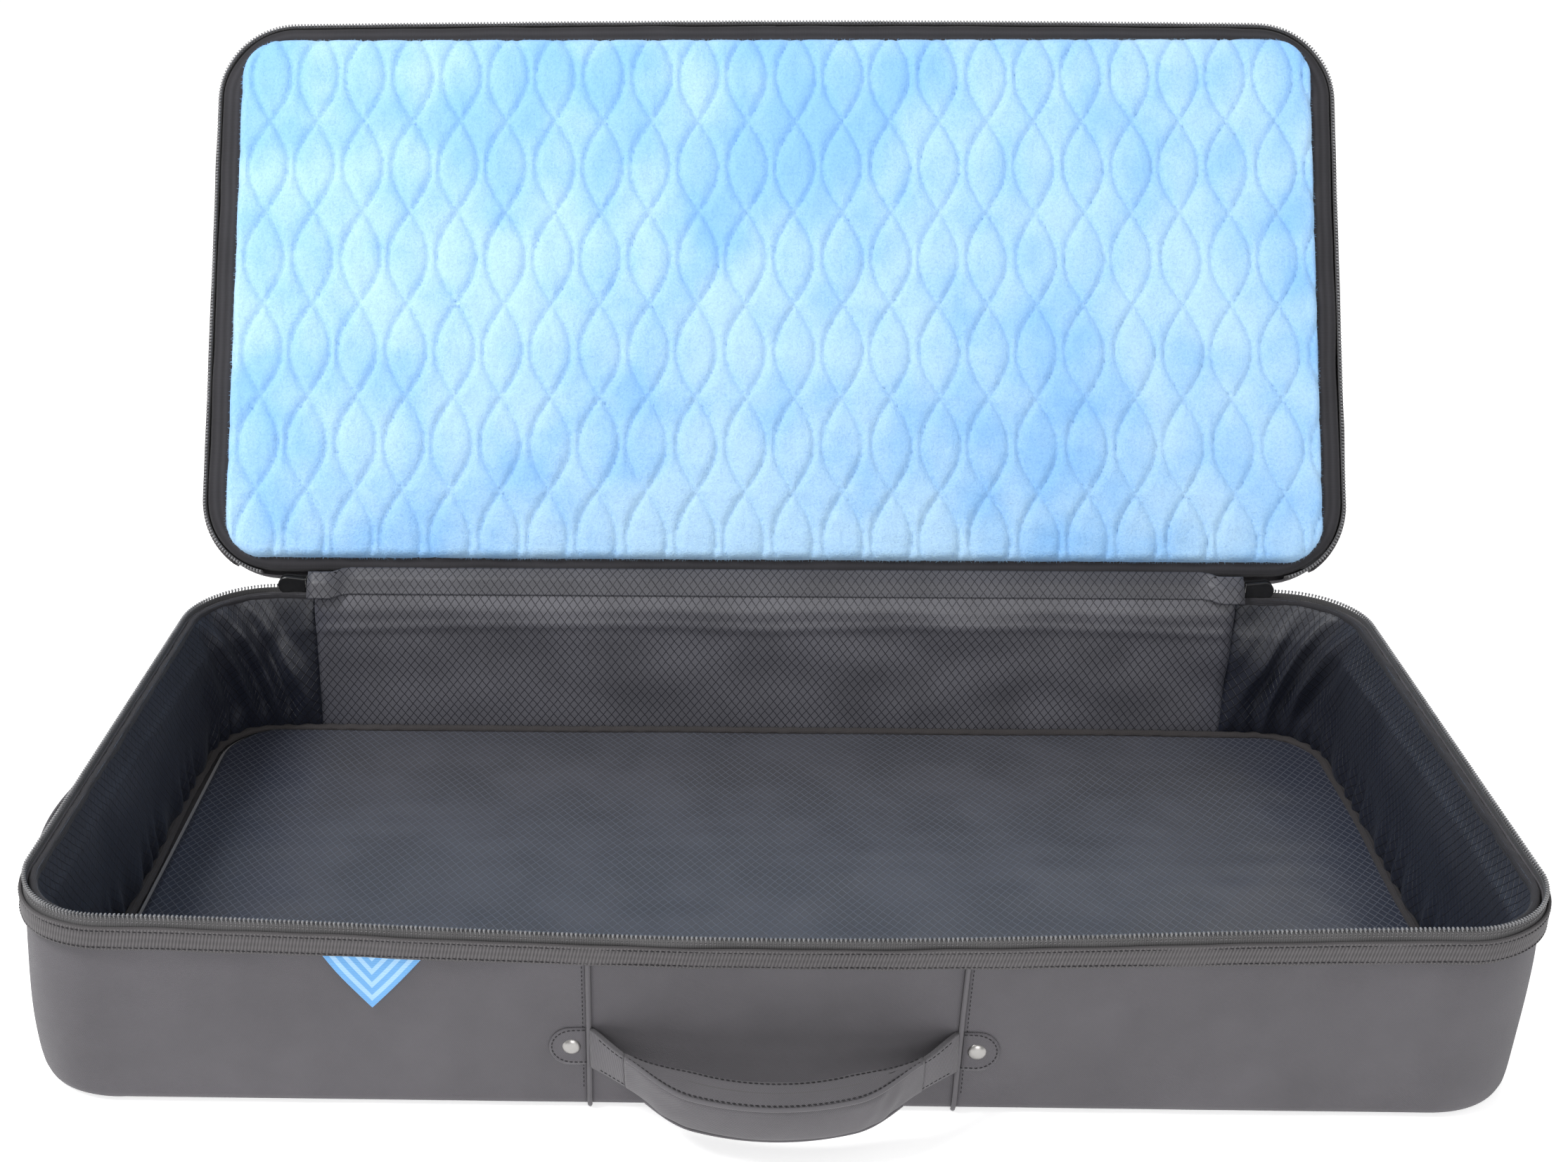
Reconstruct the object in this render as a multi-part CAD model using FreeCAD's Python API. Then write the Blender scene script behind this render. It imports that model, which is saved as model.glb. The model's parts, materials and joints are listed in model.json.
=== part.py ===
import FreeCAD
import Part

import math
import os

# Padded gig bag: a shallow zip-round tray with a fabric-hinged lid, two carry handles and a lid pocket.
# Millimetres. The origin is the middle of the tray's underside, +X runs along the bag's length,
# +Y points to the hinge at the rear, and +Z is up. The lid is built closed and then swung open.

Vec = FreeCAD.Vector
X_AXIS = Vec(1, 0, 0)
Y_AXIS = Vec(0, 1, 0)
Z_AXIS = Vec(0, 0, 1)

# ---- driving dimensions -------------------------------------------------------------------------
LENGTH = 864.0                 # over the zip tape, along X
DEPTH = 445.0                  # over the zip tape, front to rear
RIM_HEIGHT = 128.0             # the zip line, where tray and lid meet
CORNER_RADIUS = 60.0           # plan radius of the zip line
LID_THICKNESS = 24.0
LID_OPEN_ANGLE = 122.0         # from shut to leaning back by itself

# Depths below the outermost plan outline, from the outside in.
BAND_OUT = 0.25                # facing tape
TAPE_OUT = 1.45                # zip tape, outer face
TAPE_THICKNESS = 0.9
COIL_LINE = TAPE_OUT + TAPE_THICKNESS / 2
CLOTH_OUT = 2.5                # outer cloth, outer face
CLOTH = 1.0
FOAM_OUT = CLOTH_OUT + CLOTH
WALL_FOAM = 9.0
LINING_OUT = FOAM_OUT + WALL_FOAM
CAVITY = LINING_OUT + CLOTH    # inside face of the wall lining

# Floor layers, from the ground up.
BASE_CLOTH = 1.5
BOARD = 2.5
BASE_FOAM = 5.5
FLOOR_CLOTH = 1.5
FLOOR_BOTTOM = BASE_CLOTH + BOARD + BASE_FOAM
FLOOR_TOP = FLOOR_BOTTOM + FLOOR_CLOTH
BINDING_WIDTH = 5.0

# Rim.
COIL_RADIUS = 1.7
COIL_DROP = 1.85               # coil centre below the zip line, so the shut halves clear each other
WALL_TOP = RIM_HEIGHT - 8.0
BAND_HEIGHT = 14.0
BAND_BOTTOM = WALL_TOP - BAND_HEIGHT
TAPE_BOTTOM = WALL_TOP - 10.0
RIM_BINDING_OUT = 8.0

# Hinge line and the ends of the zip.
HINGE_Y = DEPTH / 2 - COIL_LINE
HINGE_STRIP_RADIUS = 2.5
HINGE_GAP = 7.0                # bare cloth between the hinge line and the lid's padded edge
ZIP_END = 330.0                # the chain stops this far from the middle of the rear wall
PARK = 364.0                   # a parked slider's middle
RELIEF_INNER = 296.0           # the lid edge is cut back between these, to let slider and pull pass
RELIEF_OUTER = 412.0
RELIEF_DEPTH = 17.0

# Slider: number ten on the bag, a smaller one on the pocket.
SLIDER_LENGTH = 21.0
SLIDER_WIDTH = 14.0
PLATE_GAP = 2.3                # half of the space between the two plates
PLATE = 1.6
PLATE_BEVEL = 0.6
LIP_GAP = 0.95                 # half of the slot that the tape runs through
LIP = 1.2
POST_RADIUS = 1.3
POST_SPREAD = 5.4
DIAMOND_RADIUS = 1.5
DIAMOND_RISE = 2.1             # off the middle, on the side of the chain that lifts out
BRIDGE_RISE = 3.6
PULL_THICKNESS = 1.9
PULL_LENGTH = 38.0
EYE_INNER = 2.1
EYE_OUTER = 4.1
POCKET_SCALE = 0.7

# Handles, in their own frame: u along the wall, v away from it, w up.
ANCHOR_HALF = 101.5            # half the distance between the sewn-in ends
HANDLE_RISE = 39.5             # how far the strap's middle stands off its ends
STRAP_STAND_OFF = 1.5
STRAP_WIDTH = 27.5
STRAP_THICKNESS = 2.4
SEWN_HALF = 100.4              # the webbing disappears into the seam here
SPLIT_HALF = 80.0              # the sewn tabs stop here, the free handle starts
SPLIT_CLEARANCE = 2.0
GRIP_HALF = 68.0
GRIP_WIDTH = 20.0
GRIP_HEIGHT = 30.0
GRIP_CORNER = 5.0              # cut off each corner of the grip section
HANDLE_DROOP = 13.7            # degrees below level, hanging by itself
HANDLE_HEIGHT = 45.5
SIDE_HANDLE_Y = 20.0
SEAM_X = 103.5
PIPING_RADIUS = 1.6
PATCH_WIDTH = 21.0
PATCH_HEIGHT = 29.0
RIVET_OUT = 113.5
RIVET_RADIUS = 5.0
RIVET_HEIGHT = 2.4

# Folded ribbon on the front.
TAG_X = -222.0
TAG_HALF = 26.0
TAG_DROP = 36.0
TAG_THICKNESS = 1.4

# Lid, measured up from the zip line while shut.
LID_CLOTH = 1.5
LID_EDGE_BOTTOM = 8.0
LINING_INSET = 20.0
LINING_LOW = 1.5
LINING_TOP = 9.0
LID_BINDING_OUT = 5.0
LID_BINDING_LOW = 2.0

# Lid pocket, on the lid's outer face.
POCKET_HALF_X = 315.0
POCKET_FRONT = -172.0
POCKET_REAR = 120.0
POCKET_THICKNESS = 2.5
POCKET_RADIUS = 28.0
POCKET_ZIP_Y = -150.0
POCKET_ZIP_HALF = 290.0
POCKET_TAPE_HALF = 11.0
POCKET_PARK = 262.0

os.makedirs("parts", exist_ok=True)


def save(name, shape):
    """Write one named piece."""
    shape.exportStep("parts/" + name + ".step")


# ---- plan outlines ------------------------------------------------------------------------------
def outline(x_low, x_high, y_low, y_high, radius, z):
    """A closed rounded rectangle at height z, as lines and quarter arcs."""
    corners = ((x_high, y_high, 0), (x_low, y_high, 90), (x_low, y_low, 180), (x_high, y_low, 270))
    ends = []
    arcs = []
    for x, y, start in corners:
        centre_x = x - radius if x == x_high else x + radius
        centre_y = y - radius if y == y_high else y + radius
        centre = Vec(centre_x, centre_y, z)
        arc = Part.makeCircle(radius, centre, Z_AXIS, start, start + 90)
        arcs.append(arc)
        ends.append((arc.Vertexes[0].Point, arc.Vertexes[1].Point))
    edges = []
    for index, arc in enumerate(arcs):
        edges.append(arc)
        edges.append(Part.makeLine(ends[index][1], ends[(index + 1) % 4][0]))
    return Part.Wire(edges)


def slab(x_low, x_high, y_low, y_high, radius, z_low, z_high):
    """A rounded rectangle raised from z_low to z_high."""
    face = Part.Face(outline(x_low, x_high, y_low, y_high, radius, z_low))
    return face.extrude(Vec(0, 0, z_high - z_low))


def tray_slab(inset, z_low, z_high):
    """A slab that follows the zip line's plan, inset all round."""
    half_x = LENGTH / 2 - inset
    half_y = DEPTH / 2 - inset
    return slab(-half_x, half_x, -half_y, half_y, CORNER_RADIUS - inset, z_low, z_high)


def tray_ring(outer, inner, z_low, z_high):
    """An upright wall between two insets of the zip line."""
    return tray_slab(outer, z_low, z_high).cut(tray_slab(inner, z_low, z_high))


def lid_slab(inset, low, high):
    """A slab in the shut lid, which stops short of the hinge line at the rear."""
    half_x = LENGTH / 2 - inset
    rear = HINGE_Y - HINGE_GAP - (inset - CLOTH_OUT)
    front = -(DEPTH / 2 - inset)
    return slab(-half_x, half_x, front, rear, CORNER_RADIUS - inset, RIM_HEIGHT + low, RIM_HEIGHT + high)


def lid_ring(outer, inner, low, high):
    """An upright or flat band between two insets of the lid."""
    return lid_slab(outer, low, high).cut(lid_slab(inner, low, high))


def block(x_low, x_high, y_low, y_high, z_low, z_high):
    """A plain box between two corners."""
    return Part.makeBox(x_high - x_low, y_high - y_low, z_high - z_low, Vec(x_low, y_low, z_low))


def between_x(shape, x_low, x_high, rear):
    """The part of a tray ring between two x values, on the front or the rear wall."""
    y_low, y_high = (0, DEPTH) if rear else (-DEPTH, 0)
    return shape.common(block(x_low, x_high, y_low, y_high, -1, RIM_HEIGHT + 1))


def mirror_x(shape):
    """The same shape on the other side of the middle plane."""
    return shape.mirror(Vec(0, 0, 0), X_AXIS)


# ---- tray ---------------------------------------------------------------------------------------
STRAIGHT_X = LENGTH / 2 - CORNER_RADIUS
STRAIGHT_Y = DEPTH / 2 - CORNER_RADIUS


def build_base():
    """Bottom cloth, stiffening board, foam, and the bound floor panel on top."""
    bottom = tray_slab(CLOTH_OUT, 0, BASE_CLOTH)
    low_edges = [edge for edge in bottom.Edges if edge.BoundBox.ZMax < 0.01]
    save("base_panel", bottom.makeChamfer(BASE_CLOTH * 0.6, low_edges))
    board_top = BASE_CLOTH + BOARD
    save("base_board", tray_slab(CAVITY, BASE_CLOTH, board_top))
    save("base_foam", tray_slab(CAVITY, board_top, FLOOR_BOTTOM))
    save("floor_panel", tray_slab(CAVITY + BINDING_WIDTH, FLOOR_BOTTOM, FLOOR_TOP))
    binding = tray_ring(CAVITY + 0.2, CAVITY + BINDING_WIDTH, FLOOR_BOTTOM, FLOOR_TOP + 1.5)
    top_edges = [edge for edge in binding.Edges if edge.BoundBox.ZMin > FLOOR_TOP + 1.4]
    save("floor_binding", binding.makeChamfer(1.2, top_edges))


def build_wall_foam():
    """Four straight foam strips and four corner pieces between the outer cloth and the lining."""
    ring = tray_ring(FOAM_OUT, LINING_OUT, BASE_CLOTH, WALL_TOP)
    save("front_foam", between_x(ring, -STRAIGHT_X, STRAIGHT_X, False))
    save("rear_foam", between_x(ring, -STRAIGHT_X, STRAIGHT_X, True))
    left = ring.common(block(-LENGTH, -STRAIGHT_X, -STRAIGHT_Y, STRAIGHT_Y, 0, RIM_HEIGHT))
    save("left_foam", left)
    save("right_foam", mirror_x(left))
    for end, y_low, y_high in (("front", -DEPTH, -STRAIGHT_Y), ("rear", STRAIGHT_Y, DEPTH)):
        corner = ring.common(block(-LENGTH, -STRAIGHT_X, y_low, y_high, 0, RIM_HEIGHT))
        save(end + "_left_corner_foam", corner)
        save(end + "_right_corner_foam", mirror_x(corner))


def build_outer_cloth():
    """Handle panel in front, one wrap-round gusset each side, and the rear panel."""
    ring = tray_ring(CLOTH_OUT, FOAM_OUT, BASE_CLOTH, WALL_TOP)
    save("handle_panel", between_x(ring, -SEAM_X, SEAM_X, False))
    save("rear_panel", between_x(ring, -ZIP_END, ZIP_END, True))
    front_part = ring.common(block(-LENGTH, -SEAM_X, -DEPTH, 0, 0, RIM_HEIGHT))
    rear_part = ring.common(block(-LENGTH, -ZIP_END, 0, DEPTH, 0, RIM_HEIGHT))
    left = front_part.fuse(rear_part).removeSplitter()
    save("left_gusset", left)
    save("right_gusset", mirror_x(left))


def build_linings():
    """Wall linings: front and rear run between the corners, the side ones wrap round them."""
    ring = tray_ring(LINING_OUT, CAVITY, BASE_CLOTH, WALL_TOP)
    save("front_lining", between_x(ring, -STRAIGHT_X, STRAIGHT_X, False))
    save("rear_lining", between_x(ring, -STRAIGHT_X, STRAIGHT_X, True))
    left = ring.common(block(-LENGTH, -STRAIGHT_X, -DEPTH, DEPTH, 0, RIM_HEIGHT))
    save("left_lining", left)
    save("right_lining", mirror_x(left))


def chain_path(z):
    """The zip line's plan, from one end on the rear wall right round the front to the other end."""
    half_x = LENGTH / 2 - COIL_LINE
    half_y = DEPTH / 2 - COIL_LINE
    radius = CORNER_RADIUS - COIL_LINE
    edges = []
    point = Vec(-ZIP_END, half_y, z)
    corners = ((-1, 1, 90), (-1, -1, 180), (1, -1, 270), (1, 1, 0))
    for side_x, side_y, start in corners:
        centre = Vec(side_x * (half_x - radius), side_y * (half_y - radius), z)
        arc = Part.makeCircle(radius, centre, Z_AXIS, start, start + 90)
        first = arc.Vertexes[0].Point
        edges.append(Part.makeLine(point, first))
        edges.append(arc)
        point = arc.Vertexes[1].Point
    edges.append(Part.makeLine(point, Vec(ZIP_END, half_y, z)))
    return Part.Wire(edges)


def chain_bead(z):
    """An eight-sided bead along the zip line at height z."""
    path = chain_path(z)
    points = []
    for corner in range(8):
        angle = math.radians(22.5 + 45 * corner)
        points.append(Vec(-ZIP_END, HINGE_Y + COIL_RADIUS * math.cos(angle), z + COIL_RADIUS * math.sin(angle)))
    section = Part.makePolygon(points + [points[0]])
    return path.makePipeShell([section], True, False)


def without_rear_middle(shape):
    """Cut away the rear wall's stretch between the two ends of the zip."""
    return shape.cut(block(-ZIP_END, ZIP_END, 0, DEPTH, 0, 2 * RIM_HEIGHT))


def build_tray_rim():
    """Facing tape, zip tape and coil outside, bound seam inside, and the hinge welt at the rear."""
    save("trim_band", tray_ring(BAND_OUT, TAPE_OUT, BAND_BOTTOM, WALL_TOP))
    tape = tray_ring(TAPE_OUT, TAPE_OUT + TAPE_THICKNESS, TAPE_BOTTOM, RIM_HEIGHT - COIL_DROP)
    coil = chain_bead(RIM_HEIGHT - COIL_DROP)
    save("tray_zipper_tape", without_rear_middle(tape).cut(coil))
    save("tray_zipper_coil", coil)
    binding = tray_ring(RIM_BINDING_OUT, CAVITY, WALL_TOP, RIM_HEIGHT - 2)
    top_edges = [edge for edge in binding.Edges if edge.BoundBox.ZMin > RIM_HEIGHT - 2.1]
    save("rim_binding", binding.makeChamfer(1.8, top_edges))
    welt_half = ZIP_END - 3
    welt_start = Vec(-welt_half, HINGE_Y, RIM_HEIGHT)
    save("hinge_strip", Part.makeCylinder(HINGE_STRIP_RADIUS, 2 * welt_half, welt_start, X_AXIS))


def build_zipper_tails():
    """The last closed stretch of lid-side chain beyond each parked slider, sewn down on the tray."""
    inner = ZIP_END
    outer = PARK - SLIDER_LENGTH / 2 - 2
    pieces = []
    for side in (-1, 1):
        low, high = sorted((side * inner, side * outer))
        coil_z = RIM_HEIGHT + COIL_DROP
        bead = Part.makeCylinder(COIL_RADIUS, high - low, Vec(low, HINGE_Y, coil_z), X_AXIS)
        half = TAPE_THICKNESS / 2
        tape = block(low, high, HINGE_Y - half, HINGE_Y + half, coil_z, RIM_HEIGHT + 10)
        pieces.append(bead.fuse(tape))
    save("zipper_tails", Part.makeCompound(pieces))


def build_seam_piping():
    """Two upright piped seams, one each side of the handle panel."""
    y = -(DEPTH / 2 - CLOTH_OUT) - PIPING_RADIUS
    beads = []
    for side in (-1, 1):
        start = Vec(side * SEAM_X, y, BASE_CLOTH)
        bead = Part.makeCylinder(PIPING_RADIUS, BAND_BOTTOM - BASE_CLOTH - 0.5, start, Z_AXIS)
        tongue = block(side * SEAM_X - 0.5, side * SEAM_X + 0.5, y, y + PIPING_RADIUS,
                       BASE_CLOTH, BAND_BOTTOM - 0.5)
        beads.append(bead.fuse(tongue))
    save("handle_seam_piping", Part.makeCompound(beads))


def build_tag():
    """A ribbon folded to a triangle and caught under the facing tape."""
    y = -(DEPTH / 2 - CLOTH_OUT)
    points = (Vec(TAG_X - TAG_HALF, y, BAND_BOTTOM), Vec(TAG_X + TAG_HALF, y, BAND_BOTTOM),
              Vec(TAG_X, y, BAND_BOTTOM - TAG_DROP))
    face = Part.Face(Part.makePolygon(list(points) + [points[0]]))
    save("side_tag", face.extrude(Vec(0, -TAG_THICKNESS, 0)))


# ---- handles ------------------------------------------------------------------------------------
ARC_RADIUS = (ANCHOR_HALF ** 2 + HANDLE_RISE ** 2) / (2 * HANDLE_RISE)
ARC_CENTRE_V = STRAP_STAND_OFF + HANDLE_RISE - ARC_RADIUS


def arc_angle(u):
    """The angle from the handle's middle at which its centre line passes u, in degrees."""
    return math.degrees(math.asin(u / ARC_RADIUS))


def strap_arc(from_angle, to_angle):
    """Flat webbing that follows the handle's centre line between two angles from its middle."""
    centre = Vec(0, ARC_CENTRE_V, -STRAP_WIDTH / 2)
    start = 90 + from_angle
    end = 90 + to_angle
    outer = Part.makeCircle(ARC_RADIUS + STRAP_THICKNESS / 2, centre, Z_AXIS, start, end)
    inner = Part.makeCircle(ARC_RADIUS - STRAP_THICKNESS / 2, centre, Z_AXIS, start, end)
    first = Part.makeLine(inner.Vertexes[0].Point, outer.Vertexes[0].Point)
    last = Part.makeLine(inner.Vertexes[1].Point, outer.Vertexes[1].Point)
    return Part.Face(Part.Wire([outer, last, inner, first])).extrude(Vec(0, 0, STRAP_WIDTH))


def grip_arc(half_angle):
    """The padded wrap: an eight-sided section turned about the centre of the handle's arc."""
    half_v = GRIP_WIDTH / 2
    half_w = GRIP_HEIGHT / 2
    middle_v = ARC_CENTRE_V + ARC_RADIUS
    points = []
    for side_v, side_w in ((1, 1), (-1, 1), (-1, -1), (1, -1)):
        near = Vec(0, middle_v + side_v * half_v, side_w * (half_w - GRIP_CORNER))
        far = Vec(0, middle_v + side_v * (half_v - GRIP_CORNER), side_w * half_w)
        points += [near, far] if side_v * side_w > 0 else [far, near]
    face = Part.Face(Part.makePolygon(points + [points[0]]))
    centre = Vec(0, ARC_CENTRE_V, 0)
    face.rotate(centre, Z_AXIS, -half_angle)
    return face.revolve(centre, Z_AXIS, 2 * half_angle)


def rivet(u):
    """A domed cap on a thin washer, its face towards +v."""
    washer = Part.makeCylinder(RIVET_RADIUS, 0.5, Vec(u, CLOTH, 0), Y_AXIS)
    sphere_radius = (RIVET_RADIUS ** 2 + (RIVET_HEIGHT - 0.5) ** 2) / (2 * (RIVET_HEIGHT - 0.5))
    centre = Vec(u, CLOTH + RIVET_HEIGHT - sphere_radius, 0)
    dome = Part.makeSphere(sphere_radius, centre)
    space = Part.makeCylinder(RIVET_RADIUS, RIVET_HEIGHT, Vec(u, CLOTH + 0.5, 0), Y_AXIS)
    return washer.fuse(dome.common(space)).removeSplitter()


def patch(side):
    """A sewn reinforcing patch with a straight inner edge and a rounded outer one."""
    inner = SEAM_X + PIPING_RADIUS + 0.4
    half = PATCH_HEIGHT / 2
    box = block(inner, inner + PATCH_WIDTH, 0, CLOTH, -half, half)
    far_edges = [edge for edge in box.Edges
                 if abs(edge.BoundBox.XMin - (inner + PATCH_WIDTH)) < 0.01 and edge.BoundBox.YLength > 0.5]
    shape = box.makeFillet(10.0, far_edges)
    return shape if side > 0 else mirror_x(shape)


def handle_pieces():
    """Each handle's pieces in its own frame: sewn ends, free strap, grip, patches, rivets."""
    full = arc_angle(SEWN_HALF)
    split = arc_angle(SPLIT_HALF)
    tab = split + math.degrees(SPLIT_CLEARANCE / ARC_RADIUS)
    ends = Part.makeCompound([strap_arc(tab, full), strap_arc(-full, -tab)])
    strap = strap_arc(-split, split)
    grip = grip_arc(arc_angle(GRIP_HALF)).cut(strap)
    for shape in (strap, grip):
        shape.rotate(Vec(0, STRAP_STAND_OFF, 0), X_AXIS, -HANDLE_DROOP)
    rivets = Part.makeCompound([rivet(-RIVET_OUT), rivet(RIVET_OUT)])
    holes = Part.makeCompound([patch(-1), patch(1)])
    return {"strap_ends": ends, "strap": strap, "grip": grip, "patches": holes, "rivets": rivets}


def build_handles():
    """The front handle, and the same handle on the left end wall."""
    wall_v = DEPTH / 2 - CLOTH_OUT
    for name, shape in handle_pieces().items():
        front = shape.copy()
        front.rotate(Vec(0, 0, 0), Z_AXIS, 180)
        front.translate(Vec(0, -wall_v, HANDLE_HEIGHT))
        save("front_handle_" + name, front)
        side = shape.copy()
        side.rotate(Vec(0, 0, 0), Z_AXIS, 90)
        side.translate(Vec(-(LENGTH / 2 - CLOTH_OUT), SIDE_HANDLE_Y, HANDLE_HEIGHT))
        save("side_handle_" + name, side)


# ---- zip sliders --------------------------------------------------------------------------------
def slider_outline(inset, y):
    """A plate's outline at height y: a rounded nose where the chain parts, narrowing to a squarer tail."""
    tail_x = -SLIDER_LENGTH / 2 + inset
    half_w = SLIDER_WIDTH / 2 - inset
    tail_w = half_w - 1.6
    nose_x = SLIDER_LENGTH / 2 - inset
    shoulder = SLIDER_LENGTH / 2 - SLIDER_WIDTH / 2
    nose = Part.Arc(Vec(shoulder, y, half_w), Vec(nose_x, y, 0), Vec(shoulder, y, -half_w)).toShape()
    low = Part.makeLine(Vec(shoulder, y, -half_w), Vec(tail_x, y, -tail_w))
    tail = Part.makeLine(Vec(tail_x, y, -tail_w), Vec(tail_x, y, tail_w))
    high = Part.makeLine(Vec(tail_x, y, tail_w), Vec(shoulder, y, half_w))
    return Part.Wire([nose, low, tail, high])


def slider_body(side):
    """A whole slider, its nose to +X for side 1 and to -X for side -1."""
    diamond_x = SLIDER_LENGTH / 2 - 2.4
    diamond = Part.makeCylinder(DIAMOND_RADIUS, 2 * PLATE_GAP,
                                Vec(diamond_x, -PLATE_GAP, side * DIAMOND_RISE), Y_AXIS)
    body = slider_shell().fuse(diamond).removeSplitter()
    if side < 0:
        body.rotate(Vec(0, 0, 0), Y_AXIS, 180)
    return body


def slider_shell():
    """Two plates with turned-in lips, and a bridge for the pull; the diamond joins them at the nose."""
    half_l = SLIDER_LENGTH / 2
    outside = PLATE_GAP + PLATE
    straight = outside - PLATE_BEVEL
    whole = Part.Face(slider_outline(0, -straight)).extrude(Vec(0, 2 * straight, 0))
    for side in (-1, 1):
        rims = [slider_outline(0, side * straight), slider_outline(PLATE_BEVEL, side * outside)]
        whole = whole.fuse(Part.makeLoft(rims, True, True))
    channel_half = SLIDER_WIDTH / 2 - LIP
    tail_half = channel_half - 1.6
    channel_points = [Vec(-half_l - 1, -PLATE_GAP, -tail_half), Vec(half_l + 1, -PLATE_GAP, -channel_half),
                      Vec(half_l + 1, -PLATE_GAP, channel_half), Vec(-half_l - 1, -PLATE_GAP, tail_half)]
    channel = Part.Face(Part.makePolygon(channel_points + [channel_points[0]]))
    whole = whole.cut(channel.extrude(Vec(0, 2 * PLATE_GAP, 0)))
    whole = whole.cut(block(-half_l - 1, half_l + 1, -LIP_GAP, LIP_GAP, -SLIDER_WIDTH, SLIDER_WIDTH))
    bridge_y = PLATE_GAP + PLATE
    posts = [Part.makeCylinder(POST_RADIUS, BRIDGE_RISE, Vec(side * POST_SPREAD, bridge_y - 0.1, 0), Y_AXIS)
             for side in (-1, 1)]
    reach = POST_RADIUS + 0.25
    top = block(-POST_SPREAD - reach, POST_SPREAD + reach, bridge_y + BRIDGE_RISE - 1.2,
                bridge_y + BRIDGE_RISE + 0.2, -reach, reach)
    top_edges = [edge for edge in top.Edges if edge.BoundBox.YMin > bridge_y + BRIDGE_RISE]
    top = top.makeChamfer(0.5, top_edges)
    return whole.fuse([top] + posts).removeSplitter()


def slider_pull(side):
    """A round eye on the bridge post nearer the nose, and a tapered tab with a grip window, hanging to -Z."""
    y = PLATE_GAP + PLATE + 0.3
    post_x = side * POST_SPREAD
    eye = Part.makeCylinder(EYE_OUTER, PULL_THICKNESS, Vec(post_x, y, 0), Y_AXIS)
    neck = block(post_x - 1.7, post_x + 1.7, y, y + PULL_THICKNESS, -EYE_OUTER - 7, -EYE_OUTER + 1)
    top_z = -EYE_OUTER - 5
    low_z = -PULL_LENGTH
    points = [Vec(post_x - 2.4, y, top_z), Vec(post_x + 2.4, y, top_z),
              Vec(post_x + 4.2, y, low_z + 4), Vec(post_x - 4.2, y, low_z + 4)]
    tab = Part.Face(Part.makePolygon(points + [points[0]])).extrude(Vec(0, PULL_THICKNESS, 0))
    foot = Part.makeCylinder(4.2, PULL_THICKNESS, Vec(post_x, y, low_z + 4), Y_AXIS)
    window = slab(post_x - 1.5, post_x + 1.5, low_z + 4, top_z - 4, 1.4, y - 1, y + 3)
    window.rotate(Vec(0, 0, 0), X_AXIS, 90)
    window.translate(Vec(0, 2 * y + 2, 0))
    hole = Part.makeCylinder(EYE_INNER, 3 * PULL_THICKNESS, Vec(post_x, y - PULL_THICKNESS, 0), Y_AXIS)
    return eye.fuse([neck, tab, foot]).cut(hole).cut(window).removeSplitter()


def build_sliders():
    """A slider and its pull parked at each end of the bag's zip, noses to the corners."""
    for side, name in ((-1, "left"), (1, "right")):
        for piece, shape in (("slider", slider_body(side)), ("pull", slider_pull(side))):
            shape.translate(Vec(side * PARK, HINGE_Y, RIM_HEIGHT))
            save(name + "_" + piece, shape)


# ---- lid ----------------------------------------------------------------------------------------
def swing_open(shape):
    """Turn a piece of the shut lid to its standing position about the hinge line."""
    opened = shape.copy()
    opened.rotate(Vec(0, HINGE_Y, RIM_HEIGHT), X_AXIS, -LID_OPEN_ANGLE)
    return opened


def with_relief(shape):
    """Cut the lid's rear edge back where the sliders and their pulls pass."""
    y_low = HINGE_Y - RELIEF_DEPTH
    for side in (-1, 1):
        low, high = sorted((side * RELIEF_INNER, side * RELIEF_OUTER))
        shape = shape.cut(block(low, high, y_low, DEPTH, RIM_HEIGHT - 1, 2 * RIM_HEIGHT))
    return shape


def save_lid(name, shape):
    """Write a piece of the lid in its open position."""
    save(name, swing_open(shape))


def build_lid():
    """Outer cloth, short wall, foam, quilted plush, its binding, and the lid's half of the zip."""
    panel = lid_slab(CLOTH_OUT, LID_THICKNESS - LID_CLOTH, LID_THICKNESS)
    top_edges = [edge for edge in panel.Edges if edge.BoundBox.ZMin > RIM_HEIGHT + LID_THICKNESS - 0.1]
    save_lid("lid_panel", with_relief(panel.makeChamfer(LID_CLOTH * 0.6, top_edges)))
    gusset_top = LID_THICKNESS - LID_CLOTH
    save_lid("lid_gusset", with_relief(lid_ring(CLOTH_OUT, FOAM_OUT, LID_EDGE_BOTTOM, gusset_top)))
    save_lid("lid_foam", with_relief(lid_slab(FOAM_OUT, LINING_TOP, gusset_top)))
    lining = lid_slab(LINING_INSET, LINING_LOW, LINING_TOP)
    low_edges = [edge for edge in lining.Edges if edge.BoundBox.ZMax < RIM_HEIGHT + LINING_LOW + 0.1]
    save_lid("lid_lining", lining.makeChamfer(4.0, low_edges))
    binding = lid_ring(LID_BINDING_OUT, LINING_INSET, LID_BINDING_LOW, LINING_TOP)
    save_lid("lid_lining_binding", with_relief(binding))
    coil = chain_bead(RIM_HEIGHT + COIL_DROP)
    rear_cut = block(-LENGTH, LENGTH, HINGE_Y - RELIEF_DEPTH, DEPTH, RIM_HEIGHT - 5, 2 * RIM_HEIGHT)
    save_lid("lid_zipper_coil", coil.cut(rear_cut))
    tape = tray_ring(TAPE_OUT, TAPE_OUT + TAPE_THICKNESS, RIM_HEIGHT + COIL_DROP, RIM_HEIGHT + 18)
    save_lid("lid_zipper_tape", tape.cut(coil).cut(rear_cut))
    band = tray_ring(BAND_OUT, TAPE_OUT, RIM_HEIGHT + 8, RIM_HEIGHT + 8 + BAND_HEIGHT)
    save_lid("lid_trim_band", band.cut(rear_cut))


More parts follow.
